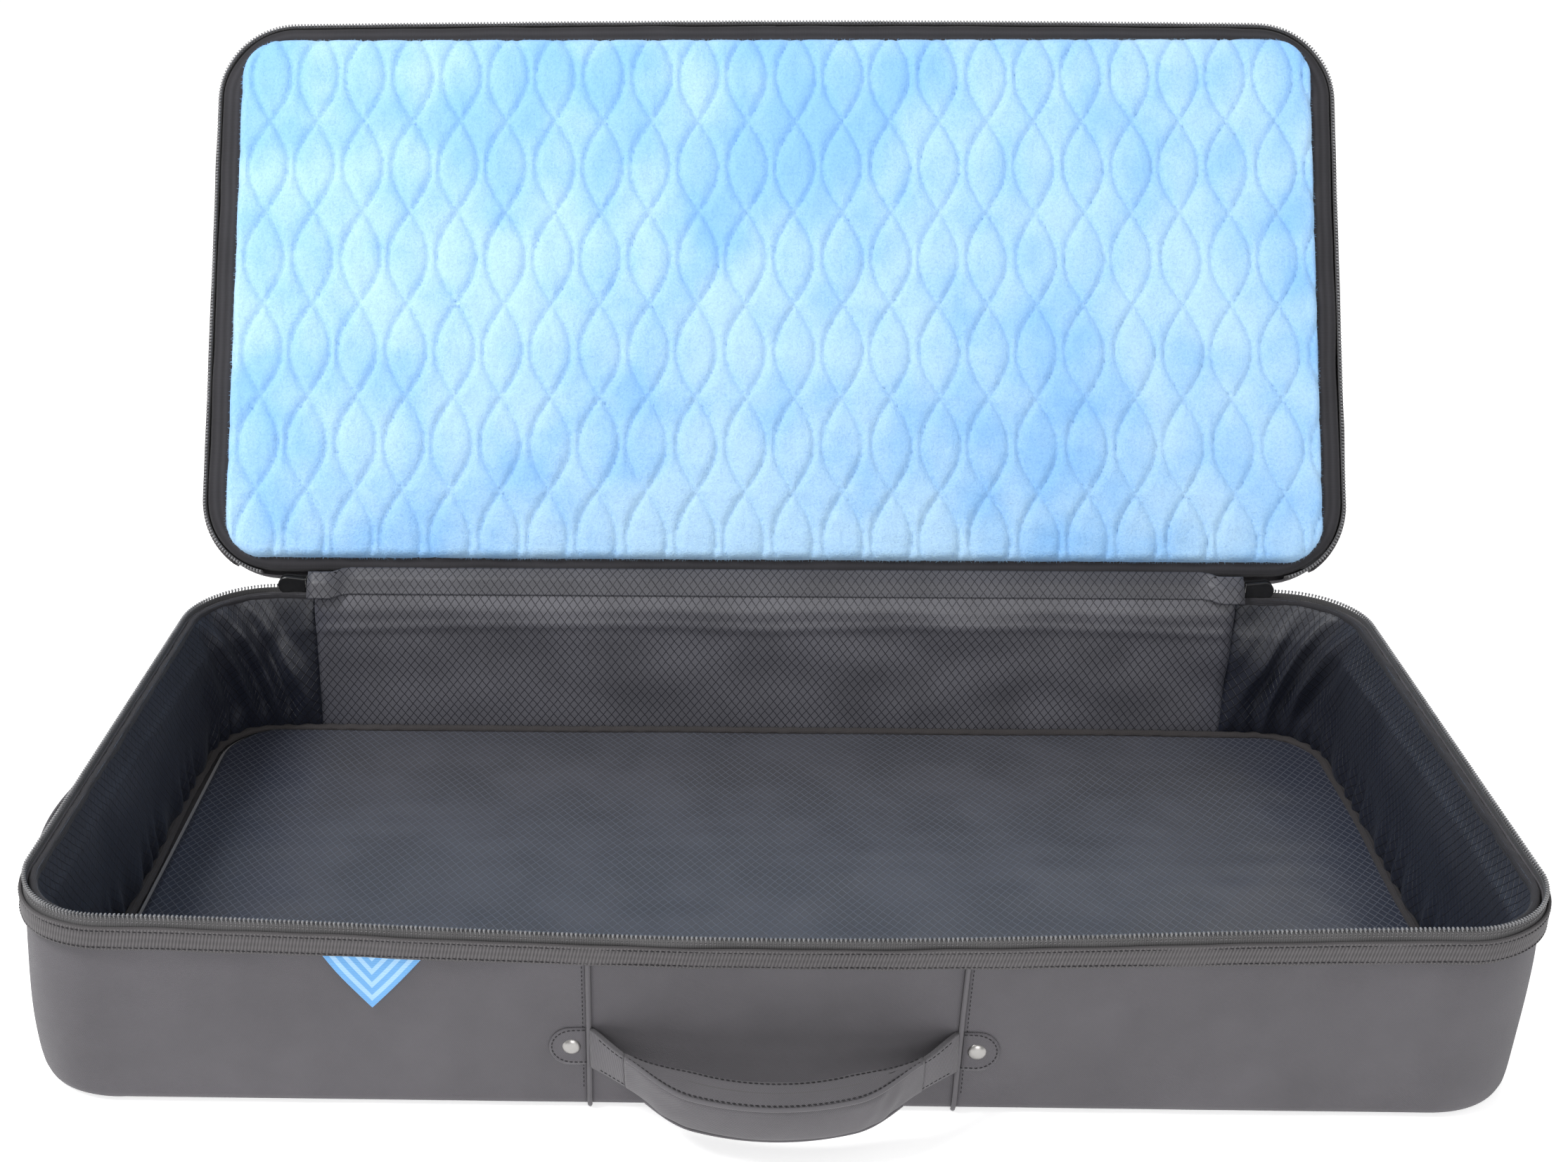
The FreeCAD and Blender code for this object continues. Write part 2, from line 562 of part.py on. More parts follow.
def build_pocket():
    """A flat pocket on the lid's outer face, with its own zip near the front edge."""
    low = RIM_HEIGHT + LID_THICKNESS
    high = low + POCKET_THICKNESS
    pouch = slab(-POCKET_HALF_X, POCKET_HALF_X, POCKET_FRONT, POCKET_REAR, POCKET_RADIUS, low, high)
    top_edges = [edge for edge in pouch.Edges if edge.BoundBox.ZMin > high - 0.1]
    pouch = pouch.makeChamfer(1.8, top_edges)
    half = POCKET_TAPE_HALF
    groove = block(-POCKET_ZIP_HALF - 6, POCKET_ZIP_HALF + 6, POCKET_ZIP_Y - half, POCKET_ZIP_Y + half,
                   low + 0.6, high + 1)
    save_lid("lid_pocket", pouch.cut(groove))
    tape_top = low + 0.6 + TAPE_THICKNESS
    tape = block(-POCKET_ZIP_HALF - 6, POCKET_ZIP_HALF + 6, POCKET_ZIP_Y - half, POCKET_ZIP_Y + half,
                 low + 0.6, tape_top)
    save_lid("pocket_zipper_tape", tape)
    coil = Part.makeCylinder(1.2, 2 * POCKET_ZIP_HALF, Vec(-POCKET_ZIP_HALF, POCKET_ZIP_Y, tape_top + 0.9),
                             X_AXIS)
    flat = block(-LENGTH, LENGTH, -DEPTH, DEPTH, tape_top, tape_top + 3)
    save_lid("pocket_zipper_coil", coil.common(flat))
    for piece, shape in (("slider", pocket_slider()), ("pull", slider_pull(1))):
        shape = shape.copy()
        shape.scale(POCKET_SCALE)
        # The plate's outer side turns from +Y to +Z, and the pull hangs towards the hinge.
        shape.rotate(Vec(0, 0, 0), X_AXIS, 90)
        shape.translate(Vec(POCKET_PARK, POCKET_ZIP_Y, tape_top + 1.0))
        save_lid("pocket_" + piece, shape)


def pocket_slider():
    """The part of a slider that shows above the pocket's tape: lipped plate, end walls and bridge."""
    upper = block(-SLIDER_LENGTH, SLIDER_LENGTH, LIP_GAP, SLIDER_LENGTH, -SLIDER_WIDTH, SLIDER_WIDTH)
    return slider_shell().common(upper)


build_base()
build_wall_foam()
build_outer_cloth()
build_linings()
build_tray_rim()
build_zipper_tails()
build_seam_piping()
build_tag()
build_handles()
build_sliders()
build_lid()
build_pocket()
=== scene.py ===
"""Looks of the padded gig bag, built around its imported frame: cloth, plush, zip, handles and hardware."""
import json
import logging
import math
from dataclasses import dataclass, field
from enum import Enum
from typing import Callable, Optional, Sequence

import bmesh
import bpy
import numpy as np
from mathutils import Matrix, Vector


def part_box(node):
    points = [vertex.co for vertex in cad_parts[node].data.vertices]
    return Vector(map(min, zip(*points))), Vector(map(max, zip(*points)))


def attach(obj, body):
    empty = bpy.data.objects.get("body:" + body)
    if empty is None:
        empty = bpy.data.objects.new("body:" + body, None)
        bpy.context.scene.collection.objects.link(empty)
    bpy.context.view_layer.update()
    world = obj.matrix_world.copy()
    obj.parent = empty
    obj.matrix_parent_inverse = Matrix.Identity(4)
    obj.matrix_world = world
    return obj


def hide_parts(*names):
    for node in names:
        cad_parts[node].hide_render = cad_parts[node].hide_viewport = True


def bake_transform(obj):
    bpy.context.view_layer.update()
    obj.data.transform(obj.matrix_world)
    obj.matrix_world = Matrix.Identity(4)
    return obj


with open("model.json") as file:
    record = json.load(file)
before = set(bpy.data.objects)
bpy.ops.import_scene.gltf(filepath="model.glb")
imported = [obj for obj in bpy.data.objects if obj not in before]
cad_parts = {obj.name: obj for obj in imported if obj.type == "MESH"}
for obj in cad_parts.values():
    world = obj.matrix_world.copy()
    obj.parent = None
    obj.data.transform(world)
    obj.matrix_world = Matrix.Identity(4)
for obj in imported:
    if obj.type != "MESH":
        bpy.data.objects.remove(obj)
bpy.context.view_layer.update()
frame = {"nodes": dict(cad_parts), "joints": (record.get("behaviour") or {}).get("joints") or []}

LOG = logging.getLogger("gig_bag")
MM = 0.001
Array = np.ndarray


# ---- numbers ------------------------------------------------------------------------------------
def smooth(value: Array) -> Array:
    """Ease from 0 to 1 while value runs from 0 to 1."""
    t = np.clip(value, 0.0, 1.0)
    return t * t * (3.0 - 2.0 * t)


def hump(value: Array, centre: float, width: float) -> Array:
    """A bell of height 1 round centre, that fades out over width."""
    return np.exp(-((value - centre) / width) ** 2)


@dataclass(frozen=True)
class Ripple:
    """Soft unevenness of hung cloth: a few long waves that cross each other.

    Args of the class: height of the waves, their usual length, and the seed that turns them.
    """

    height: float
    length: float
    seed: int
    waves: int = 7

    def at(self, u: Array, v: Array) -> Array:
        """The height at each place (u, v) of the cloth."""
        draw = np.random.default_rng(self.seed)
        total = np.zeros_like(u)
        for _ in range(self.waves):
            angle = draw.uniform(0.0, math.pi)
            wave = 2.0 * math.pi / (self.length * draw.uniform(0.55, 1.6))
            phase = draw.uniform(0.0, 2.0 * math.pi)
            total += np.sin(wave * (u * math.cos(angle) + v * math.sin(angle)) + phase)
        return self.height * total / 3.0


# ---- the bag's outline --------------------------------------------------------------------------
def span(node: str) -> tuple[Vector, Vector]:
    """The lowest and highest corner of a frame node."""
    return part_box(node)


BAND_LOW, BAND_HIGH = span("trim_band")
HALF_X = BAND_HIGH.x + 0.25 * MM
HALF_Y = BAND_HIGH.y + 0.25 * MM
RADIUS = 60 * MM
LID_JOINT = next(joint for joint in frame["joints"] if joint["name"] == "lid_hinge")
HINGE_Y = LID_JOINT["pos_m"][1]
RIM_Z = LID_JOINT["pos_m"][2]
OPEN_ANGLE = math.radians(-LID_JOINT["range_deg"][0])
FLOOR_Z = span("floor_panel")[1].z
CLOTH_OUT = HALF_X + span("left_gusset")[0].x
CAVITY_INSET = HALF_X + span("left_lining")[0].x + 1.0 * MM
LID_GAP = 6.0 * MM
LID_THICKNESS = 24.0 * MM
OUTER_CLOTH = 0.9 * MM
LINING_CLOTH = 0.5 * MM
HANDLE_SEAM_X = 103.5 * MM


@dataclass(frozen=True)
class Outline:
    """A rounded rectangle seen from above, measured by length along it and by depth inside it.

    The length starts at the middle of the front and runs to +X, up the right end, along the rear and
    back down the left end. bow swells the cloth outwards as a function of x and height.
    """

    half_x: float
    half_y: float
    radius: float
    centre_y: float = 0.0
    bow: Optional[Callable[[Array, Array, Array], Array]] = None
    lean: float = 0.0

    def runs(self) -> tuple[float, float, float]:
        """Half of a long straight, a quarter corner, and a short straight."""
        return (self.half_x - self.radius, self.radius * math.pi / 2, 2 * (self.half_y - self.radius))

    def length(self) -> float:
        """Once round the outline."""
        long_half, corner, short = self.runs()
        return 4 * long_half + 4 * corner + 2 * short

    def rear(self) -> float:
        """The length at the middle of the rear side."""
        return self.length() / 2

    def wrap(self, along: Array, inset: Array, height: Array) -> Array:
        """Lay straight work on the outline.

        Args:
            along: length along the outline, which may run past either end.
            inset: depth inside the outline.
            height: z of each point.
        Returns:
            The points, one row each.
        """
        long_half, corner, short = self.runs()
        inner_x = self.half_x - self.radius
        inner_y = self.half_y - self.radius
        s = np.mod(along, self.length())
        marks = np.cumsum([0, long_half, corner, short, corner, 2 * long_half, corner, short, corner])
        x = np.zeros_like(s)
        y = np.zeros_like(s)
        turn = np.full_like(s, -math.pi / 2)
        pieces = (
            (marks[0], marks[1], (0, -1), (1, 0), 0.0, False),
            (marks[1], marks[2], (1, -1), (0, 0), 0.0, True),
            (marks[2], marks[3], (1, -1), (0, 1), math.pi / 2, False),
            (marks[3], marks[4], (1, 1), (0, 0), math.pi / 2, True),
            (marks[4], marks[5], (1, 1), (-1, 0), math.pi, False),
            (marks[5], marks[6], (-1, 1), (0, 0), math.pi, True),
            (marks[6], marks[7], (-1, 1), (0, -1), 1.5 * math.pi, False),
            (marks[7], marks[8], (-1, -1), (0, 0), 1.5 * math.pi, True),
            (marks[8], self.length() + 1, (-1, -1), (1, 0), 2 * math.pi, False),
        )
        for low, high, start, direction, angle, bends in pieces:
            here = (s >= low) & (s <= high)
            run = s[here] - low
            x[here] = start[0] * inner_x + (0 if bends else direction[0]) * run
            y[here] = start[1] * inner_y + (0 if bends else direction[1]) * run
            turn[here] += angle + (run / self.radius if bends else 0.0)
        normal_x = np.cos(turn)
        normal_y = np.sin(turn)
        out = self.radius - inset
        if self.bow is not None:
            out = out + self.bow(x + normal_x * out, normal_y, height)
        skew = self.lean * np.clip(height / RIM_Z - 1.0, -1.0, 0.0)
        return np.stack([x + normal_x * out + skew, self.centre_y + y + normal_y * out, height], axis=1)

    def on_left(self, y: float) -> float:
        """The length at which the outline's left end passes y."""
        long_half, corner, _ = self.runs()
        return self.length() - long_half - corner - (y - self.centre_y + self.half_y - self.radius)


def tray_bow(x: Array, normal_y: Array, height: Array) -> Array:
    """How far the tray's cloth stands off its straight plan: the front swells out in the middle."""
    rise = np.clip(height / RIM_Z, 0.0, 1.1) ** 2.2
    facing = np.clip(-normal_y, 0.0, 1.0)
    middle = np.cos(np.clip(x / 0.42, -1.0, 1.0) * math.pi / 2) ** 2
    front = (17.5 * MM * middle - 5.0 * MM) * rise * facing
    sideways = np.sqrt(np.clip(1.0 - normal_y * normal_y, 0.0, 1.0))
    flare = np.where(x < 0, 5.0 * MM, 1.0 * MM) * (1.0 - np.clip(rise, 0.0, 1.0))
    return front + sideways * (1.5 * MM * rise + flare)


def lid_bow(x: Array, normal_y: Array, height: Array) -> Array:
    """How far the lid's front edge stands off its straight plan."""
    middle = np.cos(np.clip(x / 0.44, -1.0, 1.0) * math.pi / 2)
    return 3.5 * MM * middle * np.clip(-normal_y, 0.0, 1.0) + height * 0


TRAY = Outline(HALF_X, HALF_Y, RADIUS, bow=tray_bow, lean=3.0 * MM)
LID_REAR = HINGE_Y - LID_GAP
LID = Outline(HALF_X, (LID_REAR + HALF_Y) / 2, RADIUS, centre_y=(LID_REAR - HALF_Y) / 2, bow=lid_bow)


QUILT = Outline(HALF_X - 18 * MM, 205.5 * MM, 31 * MM, centre_y=HINGE_Y - 225.0 * MM)


def open_lid(points: Array) -> Array:
    """Swing points of the shut lid up to where the lid rests."""
    turn = np.array(Matrix.Rotation(-OPEN_ANGLE, 3, "X"))
    pivot = np.array([0.0, HINGE_Y, RIM_Z])
    slack = points.copy()
    slack[:, 0] *= np.where(points[:, 0] < 0, 1.010, 1.0)
    return (slack - pivot) @ turn.T + pivot


# ---- meshes -------------------------------------------------------------------------------------
def read_points(mesh: bpy.types.Mesh) -> Array:
    """All vertex places of a mesh, one row each."""
    flat = np.zeros(len(mesh.vertices) * 3)
    mesh.vertices.foreach_get("co", flat)
    return flat.reshape(-1, 3)


def write_points(mesh: bpy.types.Mesh, points: Array) -> None:
    """Put a mesh's vertices where points says."""
    mesh.vertices.foreach_set("co", np.ascontiguousarray(points, dtype=np.float64).ravel())
    mesh.update()


def swing_open(mesh: bpy.types.Mesh) -> None:
    """Move a mesh of the shut lid up to where the lid rests."""
    write_points(mesh, open_lid(read_points(mesh)))


def mesh_of(name: str, build: bmesh.types.BMesh) -> bpy.types.Mesh:
    """Turn a bmesh into a mesh and free it."""
    mesh = bpy.data.meshes.new(name)
    build.to_mesh(mesh)
    build.free()
    return mesh


def flat_grid(name: str, columns: int, rows: int) -> bpy.types.Mesh:
    """A grid over the unit square, with that square as its UV map."""
    build = bmesh.new()
    bmesh.ops.create_grid(build, x_segments=columns, y_segments=rows, size=0.5, calc_uvs=False)
    bmesh.ops.translate(build, verts=build.verts, vec=(0.5, 0.5, 0.0))
    layer = build.loops.layers.uv.new("cloth")
    for face in build.faces:
        for loop in face.loops:
            loop[layer].uv = loop.vert.co.xy
    return mesh_of(name, build)


def scale_uv(mesh: bpy.types.Mesh, width: float, height: float) -> None:
    """Stretch the unit UV map to the cloth's real size in metres."""
    layer = mesh.uv_layers["cloth"]
    flat = np.zeros(len(layer.data) * 2)
    layer.data.foreach_get("uv", flat)
    uv = flat.reshape(-1, 2) * (width, height)
    layer.data.foreach_set("uv", uv.ravel())


def merge(mesh: bpy.types.Mesh, distance: float = 0.02 * MM, outwards: bool = True) -> None:
    """Weld doubled points, drop what has no area, and point the faces outwards."""
    build = bmesh.new()
    build.from_mesh(mesh)
    bmesh.ops.remove_doubles(build, verts=build.verts, dist=distance)
    bmesh.ops.dissolve_degenerate(build, edges=build.edges, dist=distance)
    if outwards:
        bmesh.ops.recalc_face_normals(build, faces=build.faces)
    build.to_mesh(mesh)
    build.free()


def add_piece(
    name: str,
    mesh: bpy.types.Mesh,
    cloth: "Cloth",
    body: Optional[str],
    replaces: Sequence[str] = (),
) -> bpy.types.Object:
    """Make a finished object of a mesh and hand it to the frame.

    Args:
        name: the piece's name.
        mesh: its mesh, already in place.
        cloth: its finish.
        body: the frame body that it rides on, or None for a piece left without one.
        replaces: frame nodes that it stands for.
    Returns:
        The new object.
    """
    mesh.name = name
    mesh.materials.clear()
    mesh.materials.append(cloth.material())
    mesh.polygons.foreach_set("use_smooth", [True] * len(mesh.polygons))
    piece = bpy.data.objects.new(name, mesh)
    bpy.context.scene.collection.objects.link(piece)
    if body is not None:
        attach(piece, body)
    if replaces:
        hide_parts(*replaces)
    LOG.info("piece %s: %d faces", name, len(mesh.polygons))
    return piece


def thicken(mesh: bpy.types.Mesh, thickness: float, offset: float = -1.0) -> bpy.types.Mesh:
    """Give a sheet a real thickness, with its rim closed."""
    holder = bpy.data.objects.new("thickening", mesh)
    bpy.context.scene.collection.objects.link(holder)
    modifier = holder.modifiers.new("wall", "SOLIDIFY")
    modifier.thickness = thickness
    modifier.offset = offset
    result = bpy.data.meshes.new_from_object(holder.evaluated_get(bpy.context.evaluated_depsgraph_get()))
    bpy.data.objects.remove(holder)
    return result


Profile = Sequence[tuple[float, float]]


def rounded_box(
    outer: float,
    inner: float,
    low: float,
    high: float,
    corner: float,
    steps: int = 4,
) -> Profile:
    """A closed section with rounded corners, as (inset, height) points in order."""
    points = []
    corners = ((inner - corner, high - corner, 0.0), (outer + corner, high - corner, 0.5),
               (outer + corner, low + corner, 1.0), (inner - corner, low + corner, 1.5))
    for inset, height, start in corners:
        for step in range(steps + 1):
            angle = (start + 0.5 * step / steps) * math.pi
            points.append((inset + corner * math.cos(angle), height + corner * math.sin(angle)))
    points.append(points[0])
    return points


def resample(profile: Profile, count: int) -> tuple[Array, Array, float]:
    """Even steps along a section: the insets, the heights, and the section's length."""
    line = np.array(profile, float)
    steps = np.hypot(*np.diff(line, axis=0).T)
    length = np.concatenate([[0.0], np.cumsum(steps)])
    even = np.linspace(0.0, length[-1], count + 1)
    return np.interp(even, length, line[:, 0]), np.interp(even, length, line[:, 1]), float(length[-1])


Shift = Callable[[Array, Array, Array], tuple[Array, Array]]


def strip(
    name: str,
    outline: Outline,
    start: float,
    end: float,
    profile: Profile,
    pitch: float = 6 * MM,
    rows: Optional[int] = None,
    shift: Optional[Shift] = None,
) -> bpy.types.Mesh:
    """A section swept along an outline, with UVs in metres.

    Args:
        name: the mesh's name.
        outline: what it follows.
        start, end: the lengths that it runs between.
        profile: its section as (inset, height) points, closed if the last is the first.
        pitch: the length of one column of faces.
        rows: the number of faces round the section, or None to take one per profile step.
        shift: moves the work before it is laid: takes along, inset and height, and returns the
            new inset and height.
    Returns:
        The mesh in place.
    """
    columns = max(2, round((end - start) / pitch))
    count = rows or len(profile) - 1
    if rows:
        insets, heights, width = resample(profile, count)
    else:
        line = np.array(profile, float)
        insets, heights = line[:, 0], line[:, 1]
        width = float(np.hypot(*np.diff(line, axis=0).T).sum())
    mesh = flat_grid(name, columns, count)
    unit = read_points(mesh)
    row = np.rint(unit[:, 1] * count).astype(int)
    along = start + unit[:, 0] * (end - start)
    inset = insets[row]
    height = heights[row]
    if shift is not None:
        inset, height = shift(along, inset, height)
    scale_uv(mesh, end - start, width)
    write_points(mesh, outline.wrap(along, inset, height))
    whole = abs(end - start - outline.length()) < 1e-6
    closed = profile[0] == profile[-1]
    if whole or closed:
        merge(mesh, outwards=closed)
    if closed and not whole:
        close_ends(mesh)
    return mesh


def close_ends(mesh: bpy.types.Mesh) -> None:
    """Fill the open ends of a swept section."""
    build = bmesh.new()
    build.from_mesh(mesh)
    edges = [edge for edge in build.edges if edge.is_boundary]
    bmesh.ops.holes_fill(build, edges=edges, sides=0)
    bmesh.ops.recalc_face_normals(build, faces=build.faces)
    build.to_mesh(mesh)
    build.free()


def bead(
    length: float,
    width: float,
    height: float,
    lean: float = 0.0,
    sides: int = 6,
) -> bmesh.types.BMesh:
    """One stitch or coil loop: a small rounded bar along X.

    Args:
        length, width, height: its size along X, Y and Z.
        lean: how far it turns about Y, in radians.
        sides: how many faces go round it.
    Returns:
        The bmesh, centred on the origin.
    """
    build = bmesh.new()
    bmesh.ops.create_uvsphere(build, u_segments=sides, v_segments=4, radius=0.5)
    bmesh.ops.rotate(build, verts=build.verts, cent=(0, 0, 0), matrix=Matrix.Rotation(math.pi / 2, 3, "Y"))
    bmesh.ops.scale(build, verts=build.verts, vec=(length, width, height))
    bmesh.ops.rotate(build, verts=build.verts, cent=(0, 0, 0), matrix=Matrix.Rotation(lean, 3, "Y"))
    return build


def row_of(name: str, single: bmesh.types.BMesh, pitch: float, count: int) -> bpy.types.Mesh:
    """Repeat one small shape along X."""
    holder = bpy.data.objects.new("row", mesh_of(name, single))
    bpy.context.scene.collection.objects.link(holder)
    modifier = holder.modifiers.new("repeat", "ARRAY")
    modifier.use_relative_offset = False
    modifier.use_constant_offset = True
    modifier.constant_offset_displace = (pitch, 0.0, 0.0)
    modifier.count = count
    result = bpy.data.meshes.new_from_object(holder.evaluated_get(bpy.context.evaluated_depsgraph_get()))
    bpy.data.objects.remove(holder)
    return result


def row_on(
    outline: Outline,
    name: str,
    single: bmesh.types.BMesh,
    pitch: float,
    start: float,
    end: float,
    inset: float,
    height: float,
) -> bpy.types.Mesh:
    """A row of small shapes laid along an outline at one inset and height."""
    count = max(1, int((end - start) / pitch))
    mesh = row_of(name, single, pitch, count)
    points = read_points(mesh)
    along = start + pitch / 2 + points[:, 0]
    write_points(mesh, outline.wrap(along, inset - points[:, 1], height + points[:, 2]))
    return mesh


def row_through(
    name: str,
    single: bmesh.types.BMesh,
    pitch: float,
    path: Array,
    up: Vector,
) -> bpy.types.Mesh:
    """A row of small shapes along a line of points in space.

    Args:
        name: the mesh's name.
        single: the shape to repeat, lying along X.
        pitch: its spacing.
        path: the line, one point per row, close together.
        up: the direction that the shape's Z takes.
    Returns:
        The mesh in place.
    """
    steps = np.linalg.norm(np.diff(path, axis=0), axis=1)
    length = np.concatenate([[0.0], np.cumsum(steps)])
    mesh = row_of(name, single, pitch, max(1, int(length[-1] / pitch)))
    points = read_points(mesh)
    along = np.clip(points[:, 0] + pitch / 2, 0.0, length[-1])
    place = np.stack([np.interp(along, length, path[:, axis]) for axis in range(3)], axis=1)
    ahead = np.clip(along + pitch / 2, 0.0, length[-1])
    behind = np.clip(along - pitch / 2, 0.0, length[-1])
    tangent = np.stack([np.interp(ahead, length, path[:, axis]) - np.interp(behind, length, path[:, axis])
                        for axis in range(3)], axis=1)
    tangent /= np.linalg.norm(tangent, axis=1, keepdims=True)
    side = np.cross(np.array(up)[None, :], tangent)
    side /= np.linalg.norm(side, axis=1, keepdims=True)
    rise = np.cross(tangent, side)
    write_points(mesh, place + side * points[:, 1:2] + rise * points[:, 2:3])
    return mesh


def tube(name: str, line: Array, radius: float) -> bpy.types.Mesh:
    """A round cord along a line of points, with closed ends."""
    curve = bpy.data.curves.new(name, "CURVE")
    curve.dimensions = "3D"
    curve.bevel_depth = radius
    curve.bevel_resolution = 2
    curve.use_fill_caps = True
    spline = curve.splines.new("POLY")
    spline.points.add(len(line) - 1)
    for point, co in zip(spline.points, line):
        point.co = (*co, 1.0)
    holder = bpy.data.objects.new(name, curve)
    bpy.context.scene.collection.objects.link(holder)
    mesh = bpy.data.meshes.new_from_object(holder.evaluated_get(bpy.context.evaluated_depsgraph_get()))
    bpy.data.objects.remove(holder)
    merge(mesh)
    return mesh


def joined(name: str, meshes: Sequence[bpy.types.Mesh]) -> bpy.types.Mesh:
    """Several meshes as one."""
    build = bmesh.new()
    for mesh in meshes:
        build.from_mesh(mesh)
    return mesh_of(name, build)


# ---- shader graph -------------------------------------------------------------------------------
class Field:
    """A number that varies over a surface, as a shader socket with arithmetic."""

    def __init__(self, graph: "Graph", socket: bpy.types.NodeSocket) -> None:
        """Hold one output socket of a graph."""
        self.graph = graph
        self.socket = socket

    def math(self, operation: str, *others: "Field | float") -> "Field":
        """Run this value through a Math node."""
        inputs = {0: self}
        for index, other in enumerate(others):
            inputs[index + 1] = other
        return self.graph.value("ShaderNodeMath", {"operation": operation}, inputs)

    def __add__(self, other: "Field | float") -> "Field":
        """Add."""
        return self.math("ADD", other)

    __radd__ = __add__

    def __sub__(self, other: "Field | float") -> "Field":
        """Subtract."""
        return self.math("SUBTRACT", other)

    def __rsub__(self, other: float) -> "Field":
        """Subtract from a number."""
        return self.graph.value("ShaderNodeMath", {"operation": "SUBTRACT"}, {0: other, 1: self})

    def __mul__(self, other: "Field | float") -> "Field":
        """Multiply."""
        return self.math("MULTIPLY", other)

    __rmul__ = __mul__

    def wave(self) -> "Field":
        """A sine of this value, from 0 to 1."""
        return self.math("SINE") * 0.5 + 0.5

    def between(self, low: float, high: float) -> "Field":
        """0 below low, 1 above high, and eased between them."""
        return self.graph.value(
            "ShaderNodeMapRange", {"interpolation_type": "SMOOTHSTEP"},
            {"Value": self, "From Min": low, "From Max": high, "To Min": 0.0, "To Max": 1.0})


Colour = tuple[float, float, float]


class Graph:
    """The node graph of one material."""

    def __init__(self, name: str) -> None:
        """Start a material with only a Principled shader."""
        self.material = bpy.data.materials.new(name)
        self.material.use_nodes = True
        self.tree = self.material.node_tree
        self.shader = self.tree.nodes["Principled BSDF"]

    def node(self, kind: str, settings: dict, inputs: dict) -> bpy.types.Node:
        """Add a node: its settings first, then values or links on its sockets."""
        made = self.tree.nodes.new(kind)
        for key, setting in settings.items():
            if key == "stops":
                self.set_stops(made.color_ramp, setting)
            else:
                setattr(made, key, setting)
        for key, given in inputs.items():
            self.feed(made.inputs[key], given)
        return made

    @staticmethod
    def set_stops(ramp: bpy.types.ColorRamp, stops: Sequence[tuple[float, Colour]]) -> None:
        """Give a ramp its stops."""
        while len(ramp.elements) < len(stops):
            ramp.elements.new(0.5)
        for element, (place, colour) in zip(ramp.elements, stops):
            element.position = place
            element.color = (*colour, 1.0)

    def feed(self, socket: bpy.types.NodeSocket, given: object) -> None:
        """Link or set one input."""
        if isinstance(given, Field):
            self.tree.links.new(given.socket, socket)
        elif isinstance(given, bpy.types.NodeSocket):
            self.tree.links.new(given, socket)
        elif isinstance(given, tuple) and len(given) == 3 and socket.type == "RGBA":
            socket.default_value = (*given, 1.0)
        else:
            socket.default_value = given

    def value(self, kind: str, settings: dict, inputs: dict) -> Field:
        """A node's first output as a field."""
        return Field(self, self.node(kind, settings, inputs).outputs[0])

    def coordinates(self, on_cloth: bool) -> bpy.types.NodeSocket:
        """The cloth's own UV in metres, or the object's coordinates."""
        if on_cloth:
            return self.node("ShaderNodeUVMap", {"uv_map": "cloth"}, {}).outputs["UV"]
        return self.node("ShaderNodeTexCoord", {}, {}).outputs["Object"]

    def axes(self, coordinates: bpy.types.NodeSocket) -> tuple[Field, Field, Field]:
        """The three numbers of a place."""
        split = self.node("ShaderNodeSeparateXYZ", {}, {0: coordinates})
        return tuple(Field(self, output) for output in split.outputs)

    def noise(self, coordinates: bpy.types.NodeSocket, size: float, detail: float = 2.0,
              rough: float = 0.5) -> Field:
        """Mottling with blobs of about that size in metres."""
        return self.value("ShaderNodeTexNoise", {}, {
            "Vector": coordinates, "Scale": 1.0 / size, "Detail": detail, "Roughness": rough})

    def mix(self, factor: "Field | float", low: object, high: object) -> bpy.types.NodeSocket:
        """Blend two colours."""
        made = self.node("ShaderNodeMix", {"data_type": "RGBA"}, {})
        self.feed(made.inputs[0], factor)
        self.feed(made.inputs[6], low)
        self.feed(made.inputs[7], high)
        return made.outputs[2]

    def finish(self, colour: object, roughness: object, height: Optional[Field] = None,
               depth: float = 0.2 * MM, metallic: float = 0.0, sheen: float = 0.0,
               sheen_tint: Colour = (1.0, 1.0, 1.0), specular: float = 0.4) -> bpy.types.Material:
        """Join everything to the shader.

        Args:
            colour, roughness: what those sockets take.
            height: relief from 0 to 1, or None for a smooth face.
            depth: how deep that relief is, in metres.
            metallic, sheen, sheen_tint, specular: the same all over.
        Returns:
            The material.
        """
        self.feed(self.shader.inputs["Base Color"], colour)
        self.feed(self.shader.inputs["Roughness"], roughness)
        self.shader.inputs["Metallic"].default_value = metallic
        self.shader.inputs["Sheen Weight"].default_value = sheen
        self.shader.inputs["Sheen Roughness"].default_value = 0.45
        self.shader.inputs["Sheen Tint"].default_value = (*sheen_tint, 1.0)
        self.shader.inputs["Specular IOR Level"].default_value = specular
        if height is not None:
            made = self.node("ShaderNodeBump", {}, {"Height": height, "Distance": depth, "Strength": 1.0})
            self.feed(self.shader.inputs["Normal"], made.outputs[0])
        return self.material


def shade(colour: Colour, factor: float) -> Colour:
    """A colour made darker or lighter."""
    return tuple(min(1.0, part * factor) for part in colour)


